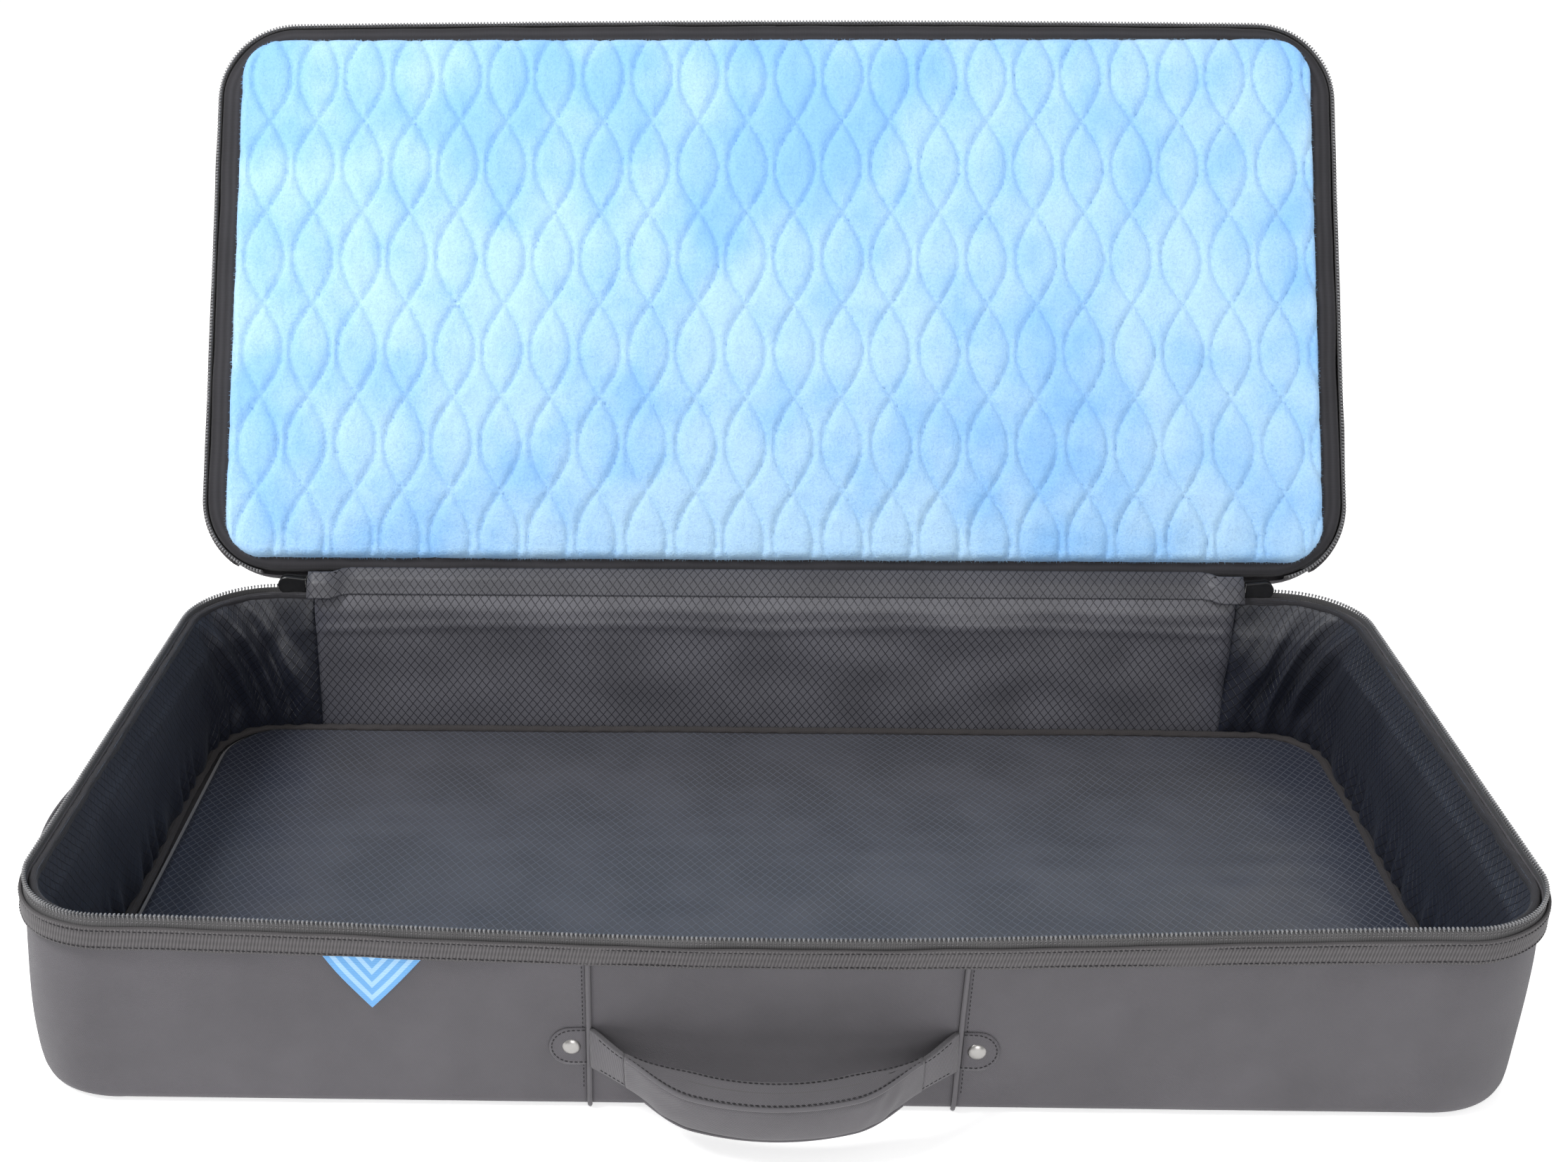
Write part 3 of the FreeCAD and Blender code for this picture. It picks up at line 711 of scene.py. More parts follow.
# ---- finishes -----------------------------------------------------------------------------------
@dataclass(frozen=True)
class Twill:
    """Fine diagonal twill: the bag's outer cloth and the handle's wrap."""

    name: str = "outer twill"
    colour: Colour = (0.096, 0.091, 0.100)
    rib: float = 0.85 * MM
    sheen: float = 0.12

    def make(self) -> bpy.types.Material:
        """Ribs on the slant, broken up, over a soft mottling."""
        graph = Graph(self.name)
        uv = graph.coordinates(True)
        u, v, _ = graph.axes(uv)
        turns = 2 * math.pi / self.rib
        ribs = ((u * 0.8 + v) * turns).wave()
        cross = ((u - v * 0.35) * (turns * 1.9)).wave()
        flecks = graph.noise(uv, 0.9 * MM, 2.0, 0.7)
        blotches = graph.noise(uv, 70 * MM, 3.0, 0.55)
        weave = ribs * 0.55 + cross * 0.25 + flecks * 0.35
        tone = weave * 0.60 + blotches * 0.40
        colour = graph.mix(tone.between(0.2, 0.9), shade(self.colour, 0.66), shade(self.colour, 1.36))
        return graph.finish(colour, flecks * 0.12 + 0.74, weave, 0.16 * MM, sheen=self.sheen,
                            specular=0.32)


@dataclass(frozen=True)
class Ripstop:
    """Dark lining with a raised diamond grid.

    Args of the class: the ground colour and the cords' colour, the painted shade colour towards the
    bag's ends with the half width where that starts, the painted shade colour low on the wall (or
    None), and the size of one diamond.
    """

    name: str = "diamond ripstop"
    colour: Colour = (0.108, 0.107, 0.123)
    cord: Colour = (0.018, 0.018, 0.024)
    # painted shade: the colour that the cloth takes towards the bag's ends and corners
    ends: Colour = (0.030, 0.034, 0.055)
    ends_from: float = 0.30
    # painted shade colour for the lower part of the wall, or None
    low: Optional[Colour] = None
    wide: float = 6.4 * MM
    tall: float = 8.4 * MM

    def make(self) -> bpy.types.Material:
        """Two slanting sets of cords, slightly wavering, over a plain fine weave."""
        graph = Graph(self.name)
        uv = graph.coordinates(True)
        u, v, _ = graph.axes(uv)
        x, _, z = graph.axes(graph.coordinates(False))
        waver = (graph.noise(uv, 8 * MM, 1.0) - 0.5) * (0.9 * MM)
        masks = []
        for side in (1.0, -1.0):
            phase = (u + waver) * (1.0 / self.wide) + v * (side / self.tall)
            to_line = (phase.math("FRACT") - 0.5).math("ABSOLUTE")
            masks.append(to_line.between(0.410, 0.470))
        cords = masks[0].math("MAXIMUM", masks[1])
        fine = (u * (2 * math.pi / (0.7 * MM))).wave() * (v * (2 * math.pi / (0.7 * MM))).wave()
        blotches = graph.noise(uv, 60 * MM, 2.0)
        ground = graph.mix(blotches.between(0.3, 0.7), shade(self.colour, 0.85), shade(self.colour, 1.15))
        # painted shade: beyond a half width in x the ground turns to the ends' shade colour
        reach = x.math("ABSOLUTE") + (blotches - 0.5) * 0.12
        outer = reach.between(self.ends_from, self.ends_from + 0.12)
        toned = graph.mix(outer, ground, self.ends)
        # painted shade: the cloth darkens towards the floor, lower on the wall
        if self.low is not None:
            deep = (z + (graph.noise(uv, 45 * MM, 2.0) - 0.5) * 0.07).between(0.112, 0.055)
            toned = graph.mix(deep, toned, self.low)
        colour = graph.mix(cords * 0.9, toned, self.cord)
        rough = 0.46 - cords * 0.10 + fine * 0.06
        return graph.finish(colour, rough, cords * 0.8 + fine * 0.12, 0.25 * MM, sheen=0.06,
                            sheen_tint=(0.75, 0.82, 1.0), specular=0.55)


@dataclass(frozen=True)
class Herringbone:
    """Facing tape woven in two rows of slanting ribs."""

    name: str = "herringbone tape"
    colour: Colour = (0.082, 0.077, 0.080)
    row: float = 5.2 * MM
    rib: float = 1.9 * MM

    def make(self) -> bpy.types.Material:
        """Ribs that change their slant from row to row."""
        graph = Graph(self.name)
        uv = graph.coordinates(True)
        u, v, _ = graph.axes(uv)
        fold = ((v * (1.0 / self.row)).math("FRACT") - 0.5).math("ABSOLUTE") * (2.0 * self.row)
        ribs = ((u + fold * 0.9) * (2 * math.pi / self.rib)).wave()
        threads = (v * (2 * math.pi / (0.55 * MM))).wave()
        flecks = graph.noise(uv, 1.5 * MM, 2.0, 0.7)
        weave = ribs * 0.55 + threads * 0.15 + flecks * 0.35
        colour = graph.mix(weave.between(0.1, 0.95), shade(self.colour, 0.62), shade(self.colour, 1.38))
        return graph.finish(colour, 0.78, weave, 0.14 * MM, sheen=0.1, specular=0.3)


@dataclass(frozen=True)
class TapeWeave:
    """Ribbed narrow cloth: the zip's tape, binding and webbing."""

    name: str
    colour: Colour
    rib: float = 0.8 * MM
    across: bool = False
    depth: float = 0.22 * MM
    sheen: float = 0.08
    rough: float = 0.8

    def make(self) -> bpy.types.Material:
        """Fine ribs along or across, with flecks."""
        graph = Graph(self.name)
        uv = graph.coordinates(True)
        u, v, _ = graph.axes(uv)
        turns = 2 * math.pi / self.rib
        main, other = (u, v) if self.across else (v, u)
        ribs = (main * turns).wave()
        cross = (other * (turns * 0.62)).wave() * 0.5
        flecks = graph.noise(uv, 1.2 * MM, 2.0, 0.65)
        blotches = graph.noise(uv, 45 * MM, 2.0)
        weave = ribs * 0.5 + cross * 0.3 + flecks * 0.3
        tone = weave * 0.6 + blotches * 0.4
        colour = graph.mix(tone.between(0.1, 0.85), shade(self.colour, 0.7), shade(self.colour, 1.35))
        return graph.finish(colour, self.rough, weave, self.depth, sheen=self.sheen, specular=0.3)


@dataclass(frozen=True)
class Plush:
    """Sky-blue napped pile, with places where the pile lies another way."""

    name: str = "blue plush"
    light: Colour = (0.500, 0.755, 1.0)
    middle: Colour = (0.300, 0.590, 0.985)
    # painted shade colour for the hollows between tufts
    deep: Colour = (0.060, 0.230, 0.680)

    def make(self) -> bpy.types.Material:
        """Colour from the lie of the pile, with painted shade in the hollows between tufts and darker
        towards the top of the open lid; relief from single tufts.
        """
        graph = Graph(self.name)
        place = graph.coordinates(False)
        _, _, z = graph.axes(place)
        lie = graph.noise(place, 150 * MM, 2.0, 0.5)
        strokes = graph.noise(place, 38 * MM, 2.0, 0.5)
        tufts = graph.noise(place, 2.1 * MM, 3.0, 0.75)
        hairs = graph.noise(place, 0.8 * MM, 2.0, 0.8)
        # darker towards the top of the open lid, by height
        high = z.between(0.25, 0.50)
        tone = lie * 0.70 + strokes * 0.34 + tufts * 0.06 - high * 0.10
        ground = graph.mix(tone.between(0.32, 0.68), self.middle, self.light)
        # painted shade: the colour turns to the deep blue where the tufts' relief is low
        colour = graph.mix((tufts * 0.6 + hairs * 0.4).between(0.60, 0.30) * 0.28, ground, self.deep)
        return graph.finish(colour, 0.95, tufts * 0.65 + hairs * 0.35, 1.2 * MM, sheen=0.22,
                            sheen_tint=(0.60, 0.82, 1.0), specular=0.12)


@dataclass(frozen=True)
class Nylon:
    """Coil loops and sewing thread, smooth and slightly shiny."""

    name: str
    colour: Colour
    rough: float = 0.34
    specular: float = 0.6

    def make(self) -> bpy.types.Material:
        """A faint change of tone along the row."""
        graph = Graph(self.name)
        place = graph.coordinates(False)
        tone = graph.noise(place, 12 * MM, 2.0)
        colour = graph.mix(tone.between(0.3, 0.7), shade(self.colour, 0.8), shade(self.colour, 1.2))
        return graph.finish(colour, tone * 0.1 + self.rough, specular=self.specular)


@dataclass(frozen=True)
class CastMetal:
    """Cast and coated hardware, with small handling marks."""

    name: str
    colour: Colour
    rough: float
    metallic: float
    mark: float = 0.5

    def make(self) -> bpy.types.Material:
        """Smudges in the gloss and a very slight orange peel."""
        graph = Graph(self.name)
        place = graph.coordinates(False)
        smudge = graph.noise(place, 6 * MM, 3.0, 0.6)
        peel = graph.noise(place, 0.7 * MM, 2.0, 0.5)
        colour = graph.mix(smudge.between(0.35, 0.75) * self.mark, self.colour, shade(self.colour, 1.5))
        rough = smudge * 0.22 + (self.rough - 0.08)
        return graph.finish(colour, rough, peel, 0.03 * MM, metallic=self.metallic, specular=0.5)


@dataclass(frozen=True)
class FoamSkin:
    """Closed-cell foam, seen only where the bag is opened up."""

    name: str = "foam"
    colour: Colour = (0.16, 0.16, 0.17)

    def make(self) -> bpy.types.Material:
        """Small cells in relief."""
        graph = Graph(self.name)
        place = graph.coordinates(False)
        cells = graph.noise(place, 1.6 * MM, 2.0, 0.5)
        colour = graph.mix(cells, shade(self.colour, 0.8), shade(self.colour, 1.2))
        return graph.finish(colour, 0.9, cells, 0.3 * MM, specular=0.2)


@dataclass(frozen=True)
class Ribbon:
    """Blue grosgrain ribbon with plain lighter stripes along its folded edges."""

    name: str = "blue ribbon"
    colour: Colour = (0.160, 0.420, 0.800)
    stripe: Colour = (0.420, 0.670, 0.940)
    half: float = 28.5 * MM
    drop: float = 36.0 * MM

    def make(self) -> bpy.types.Material:
        """Ribs across the ribbon, and stripes that run beside its two free edges."""
        graph = Graph(self.name)
        uv = graph.coordinates(True)
        u, v, _ = graph.axes(uv)
        ribs = (v * (2 * math.pi / (0.75 * MM))).wave()
        share = u.math("ABSOLUTE") * (1.0 / self.half) + v * (1.0 / self.drop)
        stripes = (share * (2 * math.pi * 4.0)).wave().between(0.50, 0.62)
        colour = graph.mix(stripes, self.colour, self.stripe)
        toned = graph.mix(ribs * 0.35, colour, shade(self.colour, 0.6))
        return graph.finish(toned, 0.6, ribs, 0.2 * MM, sheen=0.1, specular=0.35)


class Cloth(Enum):
    """The finishes of the bag, by what they cover."""

    OUTER = Twill()
    # painted shade: the floor lining turns darker navy towards the bag's ends
    FLOOR = Ripstop("floor ripstop", (0.053, 0.054, 0.064), (0.092, 0.100, 0.128),
                    (0.021, 0.025, 0.043), 0.29)
    # painted shade: the end walls' lining is the lining ripstop made much darker, and darker still low down
    ENDS = Ripstop("end ripstop", (0.026, 0.028, 0.038), (0.005, 0.005, 0.008), (0.030, 0.033, 0.047), 0.40,
                   (0.007, 0.009, 0.019))
    WRAP = Twill("handle wrap", (0.106, 0.101, 0.109), 0.95 * MM, 0.15)
    LINING = Ripstop()
    HINGE = Ripstop("hinge ripstop", (0.068, 0.068, 0.080), (0.014, 0.014, 0.019),
                    (0.050, 0.052, 0.066), 0.33)
    FACING = Herringbone()
    ZIP_TAPE = TapeWeave("zip tape", (0.092, 0.090, 0.092), 1.3 * MM, True, 0.3 * MM)
    # painted shade in part: the binding cloth is dark, and its colour was set darker still to stand for the
    # shade on the lid's edge; the tray's rim binding shares it
    BINDING = TapeWeave("dark binding", (0.030, 0.029, 0.033), 0.75 * MM, rough=0.85)
    FLOOR_BINDING = TapeWeave("floor binding", (0.040, 0.036, 0.037), 0.9 * MM, rough=0.8)
    WEBBING = TapeWeave("webbing", (0.088, 0.084, 0.086), 1.3 * MM, True, 0.35 * MM)
    PLUSH = Plush()
    COIL = Nylon("coil", (0.150, 0.150, 0.156), 0.26, 1.0)
    # painted shade in part: dark thread, set darker still to stand for the shade in the stitch grooves
    THREAD = Nylon("thread", (0.016, 0.015, 0.017), 0.6, 0.3)
    QUILT_THREAD = Nylon("quilting thread", (0.085, 0.290, 0.760), 0.6, 0.3)
    PALE_THREAD = Nylon("pale thread", (0.180, 0.175, 0.180), 0.6, 0.3)
    FOAM = FoamSkin()
    BOARD = CastMetal("stiff board", (0.03, 0.03, 0.032), 0.6, 0.0)
    RIBBON = Ribbon()
    NICKEL = CastMetal("nickel", (0.36, 0.35, 0.34), 0.33, 1.0, 0.2)
    ENAMEL = CastMetal("black enamel", (0.012, 0.012, 0.013), 0.34, 0.0)

    def material(self) -> bpy.types.Material:
        """The finish's material, made once."""
        found = bpy.data.materials.get(self.value.name)
        return found or self.value.make()


def dress(node: str, cloth: Cloth) -> None:
    """Give a frame node that stays in view its finish."""
    piece = frame["nodes"][node]
    piece.data.materials.clear()
    piece.data.materials.append(cloth.material())


# ---- tray ---------------------------------------------------------------------------------------
@dataclass
class TrayShell:
    """The tray's outer cloth, wall foam, wall linings and base."""

    seam_x: float = HANDLE_SEAM_X
    zip_end: float = 330.0 * MM
    edge_round: float = 5.5 * MM
    wall_top: float = field(default_factory=lambda: span("left_gusset")[1].z)
    corner_crease: float = 346 * MM
    wall_rows: int = 44
    lining_rows: int = 48
    pucker: Ripple = Ripple(0.9 * MM, 120 * MM, 4)
    drape: Ripple = Ripple(0.35 * MM, 38 * MM, 9)

    def wall_profile(self) -> Profile:
        """The outer cloth's section, from the rim down and round under the base."""
        points = [(CLOTH_OUT, self.wall_top + 1.5 * MM)]
        for step in range(9):
            angle = step / 8 * math.pi / 2
            points.append((CLOTH_OUT + self.edge_round * (1 - math.cos(angle)),
                           1.2 * MM + self.edge_round * (1 - math.sin(angle))))
        points.append((CLOTH_OUT + 26 * MM, 1.2 * MM))
        return points

    def ease(self, along: Array, inset: Array, height: Array) -> tuple[Array, Array]:
        """Soft puckers of the outer cloth, none at the rim and base."""
        around = np.mod(along, TRAY.length())
        last_seam = TRAY.rear() + self.zip_end
        along = np.where(around > last_seam, around - TRAY.length(), around)
        free = smooth(height / (14 * MM)) * smooth((self.wall_top - height) / (25 * MM))
        free = free * smooth(np.abs(around - last_seam) / (30 * MM))
        swell = 1.2 * MM * np.sin(np.clip(height / self.wall_top, 0, 1) * math.pi)
        wave = self.pucker.at(along, height) + self.drape.at(along, height * 0.5)
        behind_handle = smooth((150 * MM - np.abs(along)) / (60 * MM))
        return inset - free * (wave * (1 - 0.5 * behind_handle) + swell * (1 - behind_handle)), height

    def on_cloth(self, along: Array, height: Array, out: "Array | float") -> Array:
        """Points that lie a given distance outside the outer cloth."""
        inset, level = self.ease(along, np.full_like(along, CLOTH_OUT) - out, height)
        return TRAY.wrap(along, inset, level)

    def build(self) -> None:
        """Make every cloth and foam piece of the tray's walls and base."""
        rear = TRAY.rear()
        profile = self.wall_profile()
        pieces = (
            ("handle_panel", -self.seam_x, self.seam_x),
            ("right_gusset", self.seam_x, rear - self.zip_end),
            ("rear_panel", rear - self.zip_end, rear + self.zip_end),
            ("left_gusset", rear + self.zip_end, 2 * rear - self.seam_x),
        )
        for name, start, end in pieces:
            mesh = strip(name, TRAY, start, end, profile, 4 * MM, self.wall_rows, self.ease)
            piece = add_piece("outer_" + name, thicken(mesh, OUTER_CLOTH, 1.0), Cloth.OUTER,
                              "tray", [name])
            end - start
        self.build_base()
        self.build_foam()
        self.build_linings()

    def build_base(self) -> None:
        """The bottom cloth: a rounded flat sheet just under the wall cloth's turned-in edge."""
        mesh = rounded_sheet("base_cloth", TRAY, CLOTH_OUT + 8 * MM, 0.1 * MM, 14 * MM)
        add_piece("base_cloth", thicken(mesh, 1.0 * MM, 1.0), Cloth.OUTER, "tray",
                  ["base_panel"])
        dress("base_board", Cloth.BOARD)
        dress("base_foam", Cloth.FOAM)

    def build_foam(self) -> None:
        """One padded ring inside the walls."""
        section = rounded_box(CLOTH_OUT + 3.4 * MM, CAVITY_INSET - 6.0 * MM, 2 * MM,
                              self.wall_top - 4 * MM, 2 * MM, 3)
        mesh = strip("wall_padding", TRAY, 0.0, TRAY.length(), section, 12 * MM)
        names = [f"{side}_foam" for side in ("front", "rear", "left", "right")]
        names += [f"{end}_{side}_corner_foam" for end in ("front", "rear") for side in ("left", "right")]
        piece = add_piece("wall_padding", mesh, Cloth.FOAM, "tray", names)

    def gather(self, along: Array, inset: Array, height: Array) -> tuple[Array, Array]:
        """Wall lining: slack between floor and rim, bunched into folds round the rear corners."""
        rear = TRAY.rear()
        level = np.clip((height - FLOOR_Z) / (self.wall_top - FLOOR_Z), 0.0, 1.0)
        free = np.sin(level * math.pi) ** 0.6
        far = np.abs(along - rear)
        corner = smooth((far - 335 * MM) / (22 * MM)) * smooth((500 * MM - far) / (70 * MM))
        lean = (far - 352 * MM) - (level - 0.25) * 44 * MM * (0.6 + 0.8 * level)
        folds = (hump(lean, 4 * MM, 9 * MM) * 0.7 + hump(lean, 31 * MM, 8.5 * MM)
                 + hump(lean, 60 * MM, 9 * MM) * 0.9 + hump(lean, 96 * MM, 13 * MM) * 0.55)
        crush = Ripple(1.0 * MM, 30 * MM, 23).at(along + height * 0.5, height * 0.45)
        wall = Ripple(0.9 * MM, 80 * MM, 21).at(along * 0.7, height)
        dents = Ripple(0.9 * MM, 42 * MM, 27).at(along * 0.55, height * 1.2 + along * 0.25)
        crease = hump(level, 0.80 + 0.03 * np.sin(far * 11.0), 0.035) * (1.0 - corner) * 1.8 * MM
        slack = 1.6 * MM + wall + dents * (0.4 + 0.6 * hump(along - rear, -0.16, 0.14))
        push = free * (corner * (1.0 * MM + 11.0 * MM * folds + crush * 1.3) + slack + crease)
        skirt = hump(level, 0.10, 0.14) * smooth((far - 340 * MM) / (30 * MM)) * 2.2 * MM
        wrinkle = (1.0 + np.sin(far * 260.0 + np.sin(far * 71.0) * 2.0)) * skirt
        valley = hump(far, self.corner_crease, 3.5 * MM) * 3.0 * MM * free
        return inset + push + wrinkle - valley, height

    def build_linings(self) -> None:
        """Four wall linings; the rear one rolls over the wall's top to the hinge."""
        rear = TRAY.rear()
        crease = self.corner_crease
        top = self.wall_top + 1.0 * MM
        upright = [(8.6 * MM, top + 1.5 * MM), (9.4 * MM, top - 5 * MM), (CAVITY_INSET, top - 26 * MM),
                   (CAVITY_INSET, FLOOR_Z - 0.5 * MM)]
        rolled = [(7.4 * MM, RIM_Z - 4.2 * MM), (CAVITY_INSET - 3 * MM, RIM_Z - 10 * MM),
                  (CAVITY_INSET - 0.8 * MM, RIM_Z - 15 * MM), (CAVITY_INSET, RIM_Z - 20 * MM),
                  (CAVITY_INSET, FLOOR_Z - 0.5 * MM)]
        front_end = TRAY.runs()[0]
        pieces = (
            ("front_lining", -front_end, front_end, upright, Cloth.LINING),
            ("right_lining", front_end, rear - crease, upright, Cloth.ENDS),
            ("rear_lining", rear - crease, rear + crease, rolled, Cloth.LINING),
            ("left_lining", rear + crease, TRAY.length() - front_end, upright, Cloth.ENDS),
        )
        for name, start, end, section, cloth in pieces:
            mesh = strip(name, TRAY, start, end, section, 2.5 * MM, self.lining_rows, self.gather)
            piece = add_piece("inner_" + name, thicken(mesh, LINING_CLOTH), cloth,
                              "tray", [name])
            end - start


def clamp_to(outline: Outline, points: Array, inset: float) -> Array:
    """Pull points that lie outside a rounded rectangle back onto its edge."""
    inner_x = outline.half_x - outline.radius
    inner_y = outline.half_y - outline.radius
    radius = outline.radius - inset
    core_x = np.clip(points[:, 0], -inner_x, inner_x)
    core_y = np.clip(points[:, 1] - outline.centre_y, -inner_y, inner_y) + outline.centre_y
    away_x = points[:, 0] - core_x
    away_y = points[:, 1] - core_y
    distance = np.hypot(away_x, away_y)
    factor = np.where(distance > radius, radius / np.maximum(distance, 1e-9), 1.0)
    result = points.copy()
    result[:, 0] = core_x + away_x * factor
    result[:, 1] = core_y + away_y * factor
    return result


def edge_distance(outline: Outline, points: Array, inset: float) -> Array:
    """How far inside a rounded rectangle each point lies."""
    inner_x = outline.half_x - outline.radius
    inner_y = outline.half_y - outline.radius
    away_x = np.maximum(np.abs(points[:, 0]) - inner_x, 0.0)
    away_y = np.maximum(np.abs(points[:, 1] - outline.centre_y) - inner_y, 0.0)
    return outline.radius - inset - np.hypot(away_x, away_y)


def rounded_sheet(name: str, outline: Outline, inset: float, height: float, pitch: float) -> bpy.types.Mesh:
    """A flat sheet that fills an outline, its UVs in metres."""
    width = 2 * (outline.half_x - inset)
    depth = 2 * (outline.half_y - inset)
    mesh = flat_grid(name, round(width / pitch), round(depth / pitch))
    unit = read_points(mesh)
    points = np.stack([(unit[:, 0] - 0.5) * width, (unit[:, 1] - 0.5) * depth + outline.centre_y,
                       np.full(len(unit), height)], axis=1)
    scale_uv(mesh, width, depth)
    write_points(mesh, clamp_to(outline, points, inset))
    merge(mesh, 0.05 * MM, outwards=False)
    return mesh


@dataclass
class TrayFloor:
    """The lined floor panel and its bound edge."""

    inset: float = 17.0 * MM
    tube: float = 3.4 * MM
    rumple: Ripple = Ripple(0.9 * MM, 110 * MM, 31)
    crinkle: Ripple = Ripple(0.25 * MM, 30 * MM, 33)

    def build(self) -> None:
        """A slightly rumpled sheet and the binding round it."""
        mesh = rounded_sheet("floor_cloth", TRAY, self.inset, FLOOR_Z, 4 * MM)
        points = read_points(mesh)
        free = smooth(edge_distance(TRAY, points, self.inset) / (45 * MM))
        wave = self.rumple.at(points[:, 0], points[:, 1]) + self.crinkle.at(points[:, 0], points[:, 1])
        points[:, 2] += 0.6 * MM + free * (wave + 0.8 * MM)
        write_points(mesh, points)
        piece = add_piece("floor_cloth", thicken(mesh, 0.6 * MM), Cloth.FLOOR, "tray",
                          ["floor_panel"])
        section = rounded_box(self.inset - self.tube, self.inset + self.tube * 0.9, FLOOR_Z - 1.0 * MM,
                              FLOOR_Z + 3.6 * MM, 2.2 * MM)
        mesh = strip("floor_binding", TRAY, 0.0, TRAY.length(), section, 3 * MM, shift=self.unevenness)
        add_piece("floor_edge_binding", mesh, Cloth.FLOOR_BINDING, "tray", ["floor_binding"])

    @staticmethod
    def unevenness(along: Array, inset: Array, height: Array) -> tuple[Array, Array]:
        """The bound edge wanders a little and its cloth bunches at the corners."""
        wander = Ripple(1.1 * MM, 160 * MM, 41).at(along, along * 0)
        bunch = Ripple(0.35 * MM, 14 * MM, 43).at(along, height)
        return inset + wander, height + bunch


# ---- rim ----------------------------------------------------------------------------------------
@dataclass
class Rim:
    """Zip, facing tape and bound seam round one half of the bag.

    Args of the class: the outline, the body it rides on, whether it is the lid's half, and the
    names of the frame nodes that it stands for.
    """

    outline: Outline
    body: str
    upside_down: bool
    prefix: str
    nodes: dict[str, str]
    coil_pitch: float = 2.5 * MM
    stitch_pitch: float = 3.0 * MM
    park: float = 352.0 * MM
    facing_park: float = 0.0

    def ends(self, park: float) -> tuple[float, float]:
        """The lengths between which a piece runs that stops this far from the middle of the rear."""
        rear = self.outline.rear()
        return rear + park, rear + self.outline.length() - park

    def level(self, below: float) -> float:
        """The height that lies this far from the zip line, on this half's side of it."""
        return RIM_Z + below if self.upside_down else RIM_Z - below

    def placed(self, mesh: bpy.types.Mesh) -> bpy.types.Mesh:
        """Swing the lid's half open."""
        if self.upside_down:
            swing_open(mesh)
        return mesh

    def section(self, outer: float, inner: float, near: float, far: float, corner: float) -> Profile:
        """A closed section between two insets and two distances from the zip line."""
        low, high = sorted((self.level(near), self.level(far)))
        return rounded_box(outer, inner, low, high, corner)

    def build(self) -> None:
        """Coil, tape, facing tape with its two seams."""
        start, end = self.ends(self.park)
        self.build_coil(start, end)
        tape = self.section(0.4 * MM, 1.7 * MM, 2.4 * MM, 12 * MM, 0.6 * MM)
        mesh = self.placed(strip("tape", self.outline, start, end, tape, 4 * MM, shift=self.tape_slope))
        add_piece(self.prefix + "_zip_tape", mesh, Cloth.ZIP_TAPE, self.body,
                  [self.nodes["tape"]])
        facing = self.section(-1.3 * MM, 0.5 * MM, 7.2 * MM, 21.5 * MM, 0.8 * MM)
        wander = Ripple(0.35 * MM, 70 * MM, 51)

        def settle(along: Array, inset: Array, height: Array) -> tuple[Array, Array]:
            """The tape's edges waver a little."""
            return inset + wander.at(along, height) * 0.6, height + wander.at(along, along * 0)

        start, end = self.ends(self.facing_park)
        mesh = self.placed(strip("facing", self.outline, start, end, facing, 4 * MM, shift=settle))
        add_piece(self.prefix + "_facing_tape", mesh, Cloth.FACING, self.body,
                  [self.nodes["facing"]])
        self.build_seams()

    def tape_slope(self, along: Array, inset: Array, height: Array) -> tuple[Array, Array]:
        """The tape leans in towards the coil along its upper edge."""
        near = np.clip(1.0 - np.abs(height - RIM_Z) / (8 * MM), 0.0, 1.0)
        return inset + near * 2.4 * MM, height

    def build_coil(self, start: float, end: float) -> None:
        """Two rows of loops, heads at the zip line, and two lines of stitches on the tape below them."""
        lean = -0.32
        loop = bead(1.0 * MM, 2.6 * MM, 3.1 * MM, lean, 6)
        inset = 1.9 * MM
        rows = [row_on(self.outline, "loops", loop, self.coil_pitch, start, end, inset,
                       self.level(1.9 * MM))]
        head = bead(1.6 * MM, 2.9 * MM, 1.3 * MM, 0.0, 6)
        rows.append(row_on(self.outline, "heads", head, self.coil_pitch, start, end, inset,
                           self.level(0.8 * MM)))
        mesh = self.placed(joined("coil", rows))
        add_piece(self.prefix + "_coil", mesh, Cloth.COIL, self.body,
                  [self.nodes["coil"]])
        for row, below in enumerate((3.6 * MM, 5.0 * MM)):
            stitch = bead(1.5 * MM, 0.5 * MM, 0.55 * MM, 0.5 * (1 - 2 * row), 5)
            slope = max(0.0, 1.0 - below / (8 * MM)) * 2.4 * MM
            mesh = row_on(self.outline, "stitches", stitch, self.coil_pitch, start, end,
                          0.4 * MM + slope - 0.05 * MM, self.level(below))
            add_piece(f"{self.prefix}_coil_stitches_{row + 1}", self.placed(mesh), Cloth.PALE_THREAD,
                      self.body)

    def build_seams(self) -> None:
        """Two lines of stitching that hold the facing tape."""
        start, end = self.ends(self.facing_park)
        for row, below in enumerate((9.4 * MM, 19.6 * MM)):
            stitch = bead(2.3 * MM, 0.6 * MM, 0.85 * MM, 0.12, 6)
            mesh = row_on(self.outline, "seam", stitch, self.stitch_pitch, start, end, -1.35 * MM,
                          self.level(below))
            add_piece(f"{self.prefix}_facing_stitches_{row + 1}", self.placed(mesh), Cloth.THREAD,
                      self.body)


@dataclass
class RimBinding:
    """The dark bound seam just inside the tray's zip, round three sides."""

    end: float = 349.0 * MM

    def build(self) -> None:
        """A soft tube along the top of the wall."""
        rear = TRAY.rear()
        start = rear + self.end
        stop = rear + TRAY.length() - self.end
        section = rounded_box(4.4 * MM, 9.4 * MM, RIM_Z - 11.5 * MM, RIM_Z - 5.0 * MM, 2.3 * MM, 5)
        bunch = Ripple(0.3 * MM, 22 * MM, 61)

        def settle(along: Array, inset: Array, height: Array) -> tuple[Array, Array]:
            """Small unevenness of a bound seam."""
            return inset + bunch.at(along, height * 3), height + bunch.at(along + 1.0, inset * 3)

        mesh = strip("rim_binding", TRAY, start, stop, section, 3 * MM, shift=settle)
        add_piece("rim_seam_binding", mesh, Cloth.BINDING, "tray", ["rim_binding"])


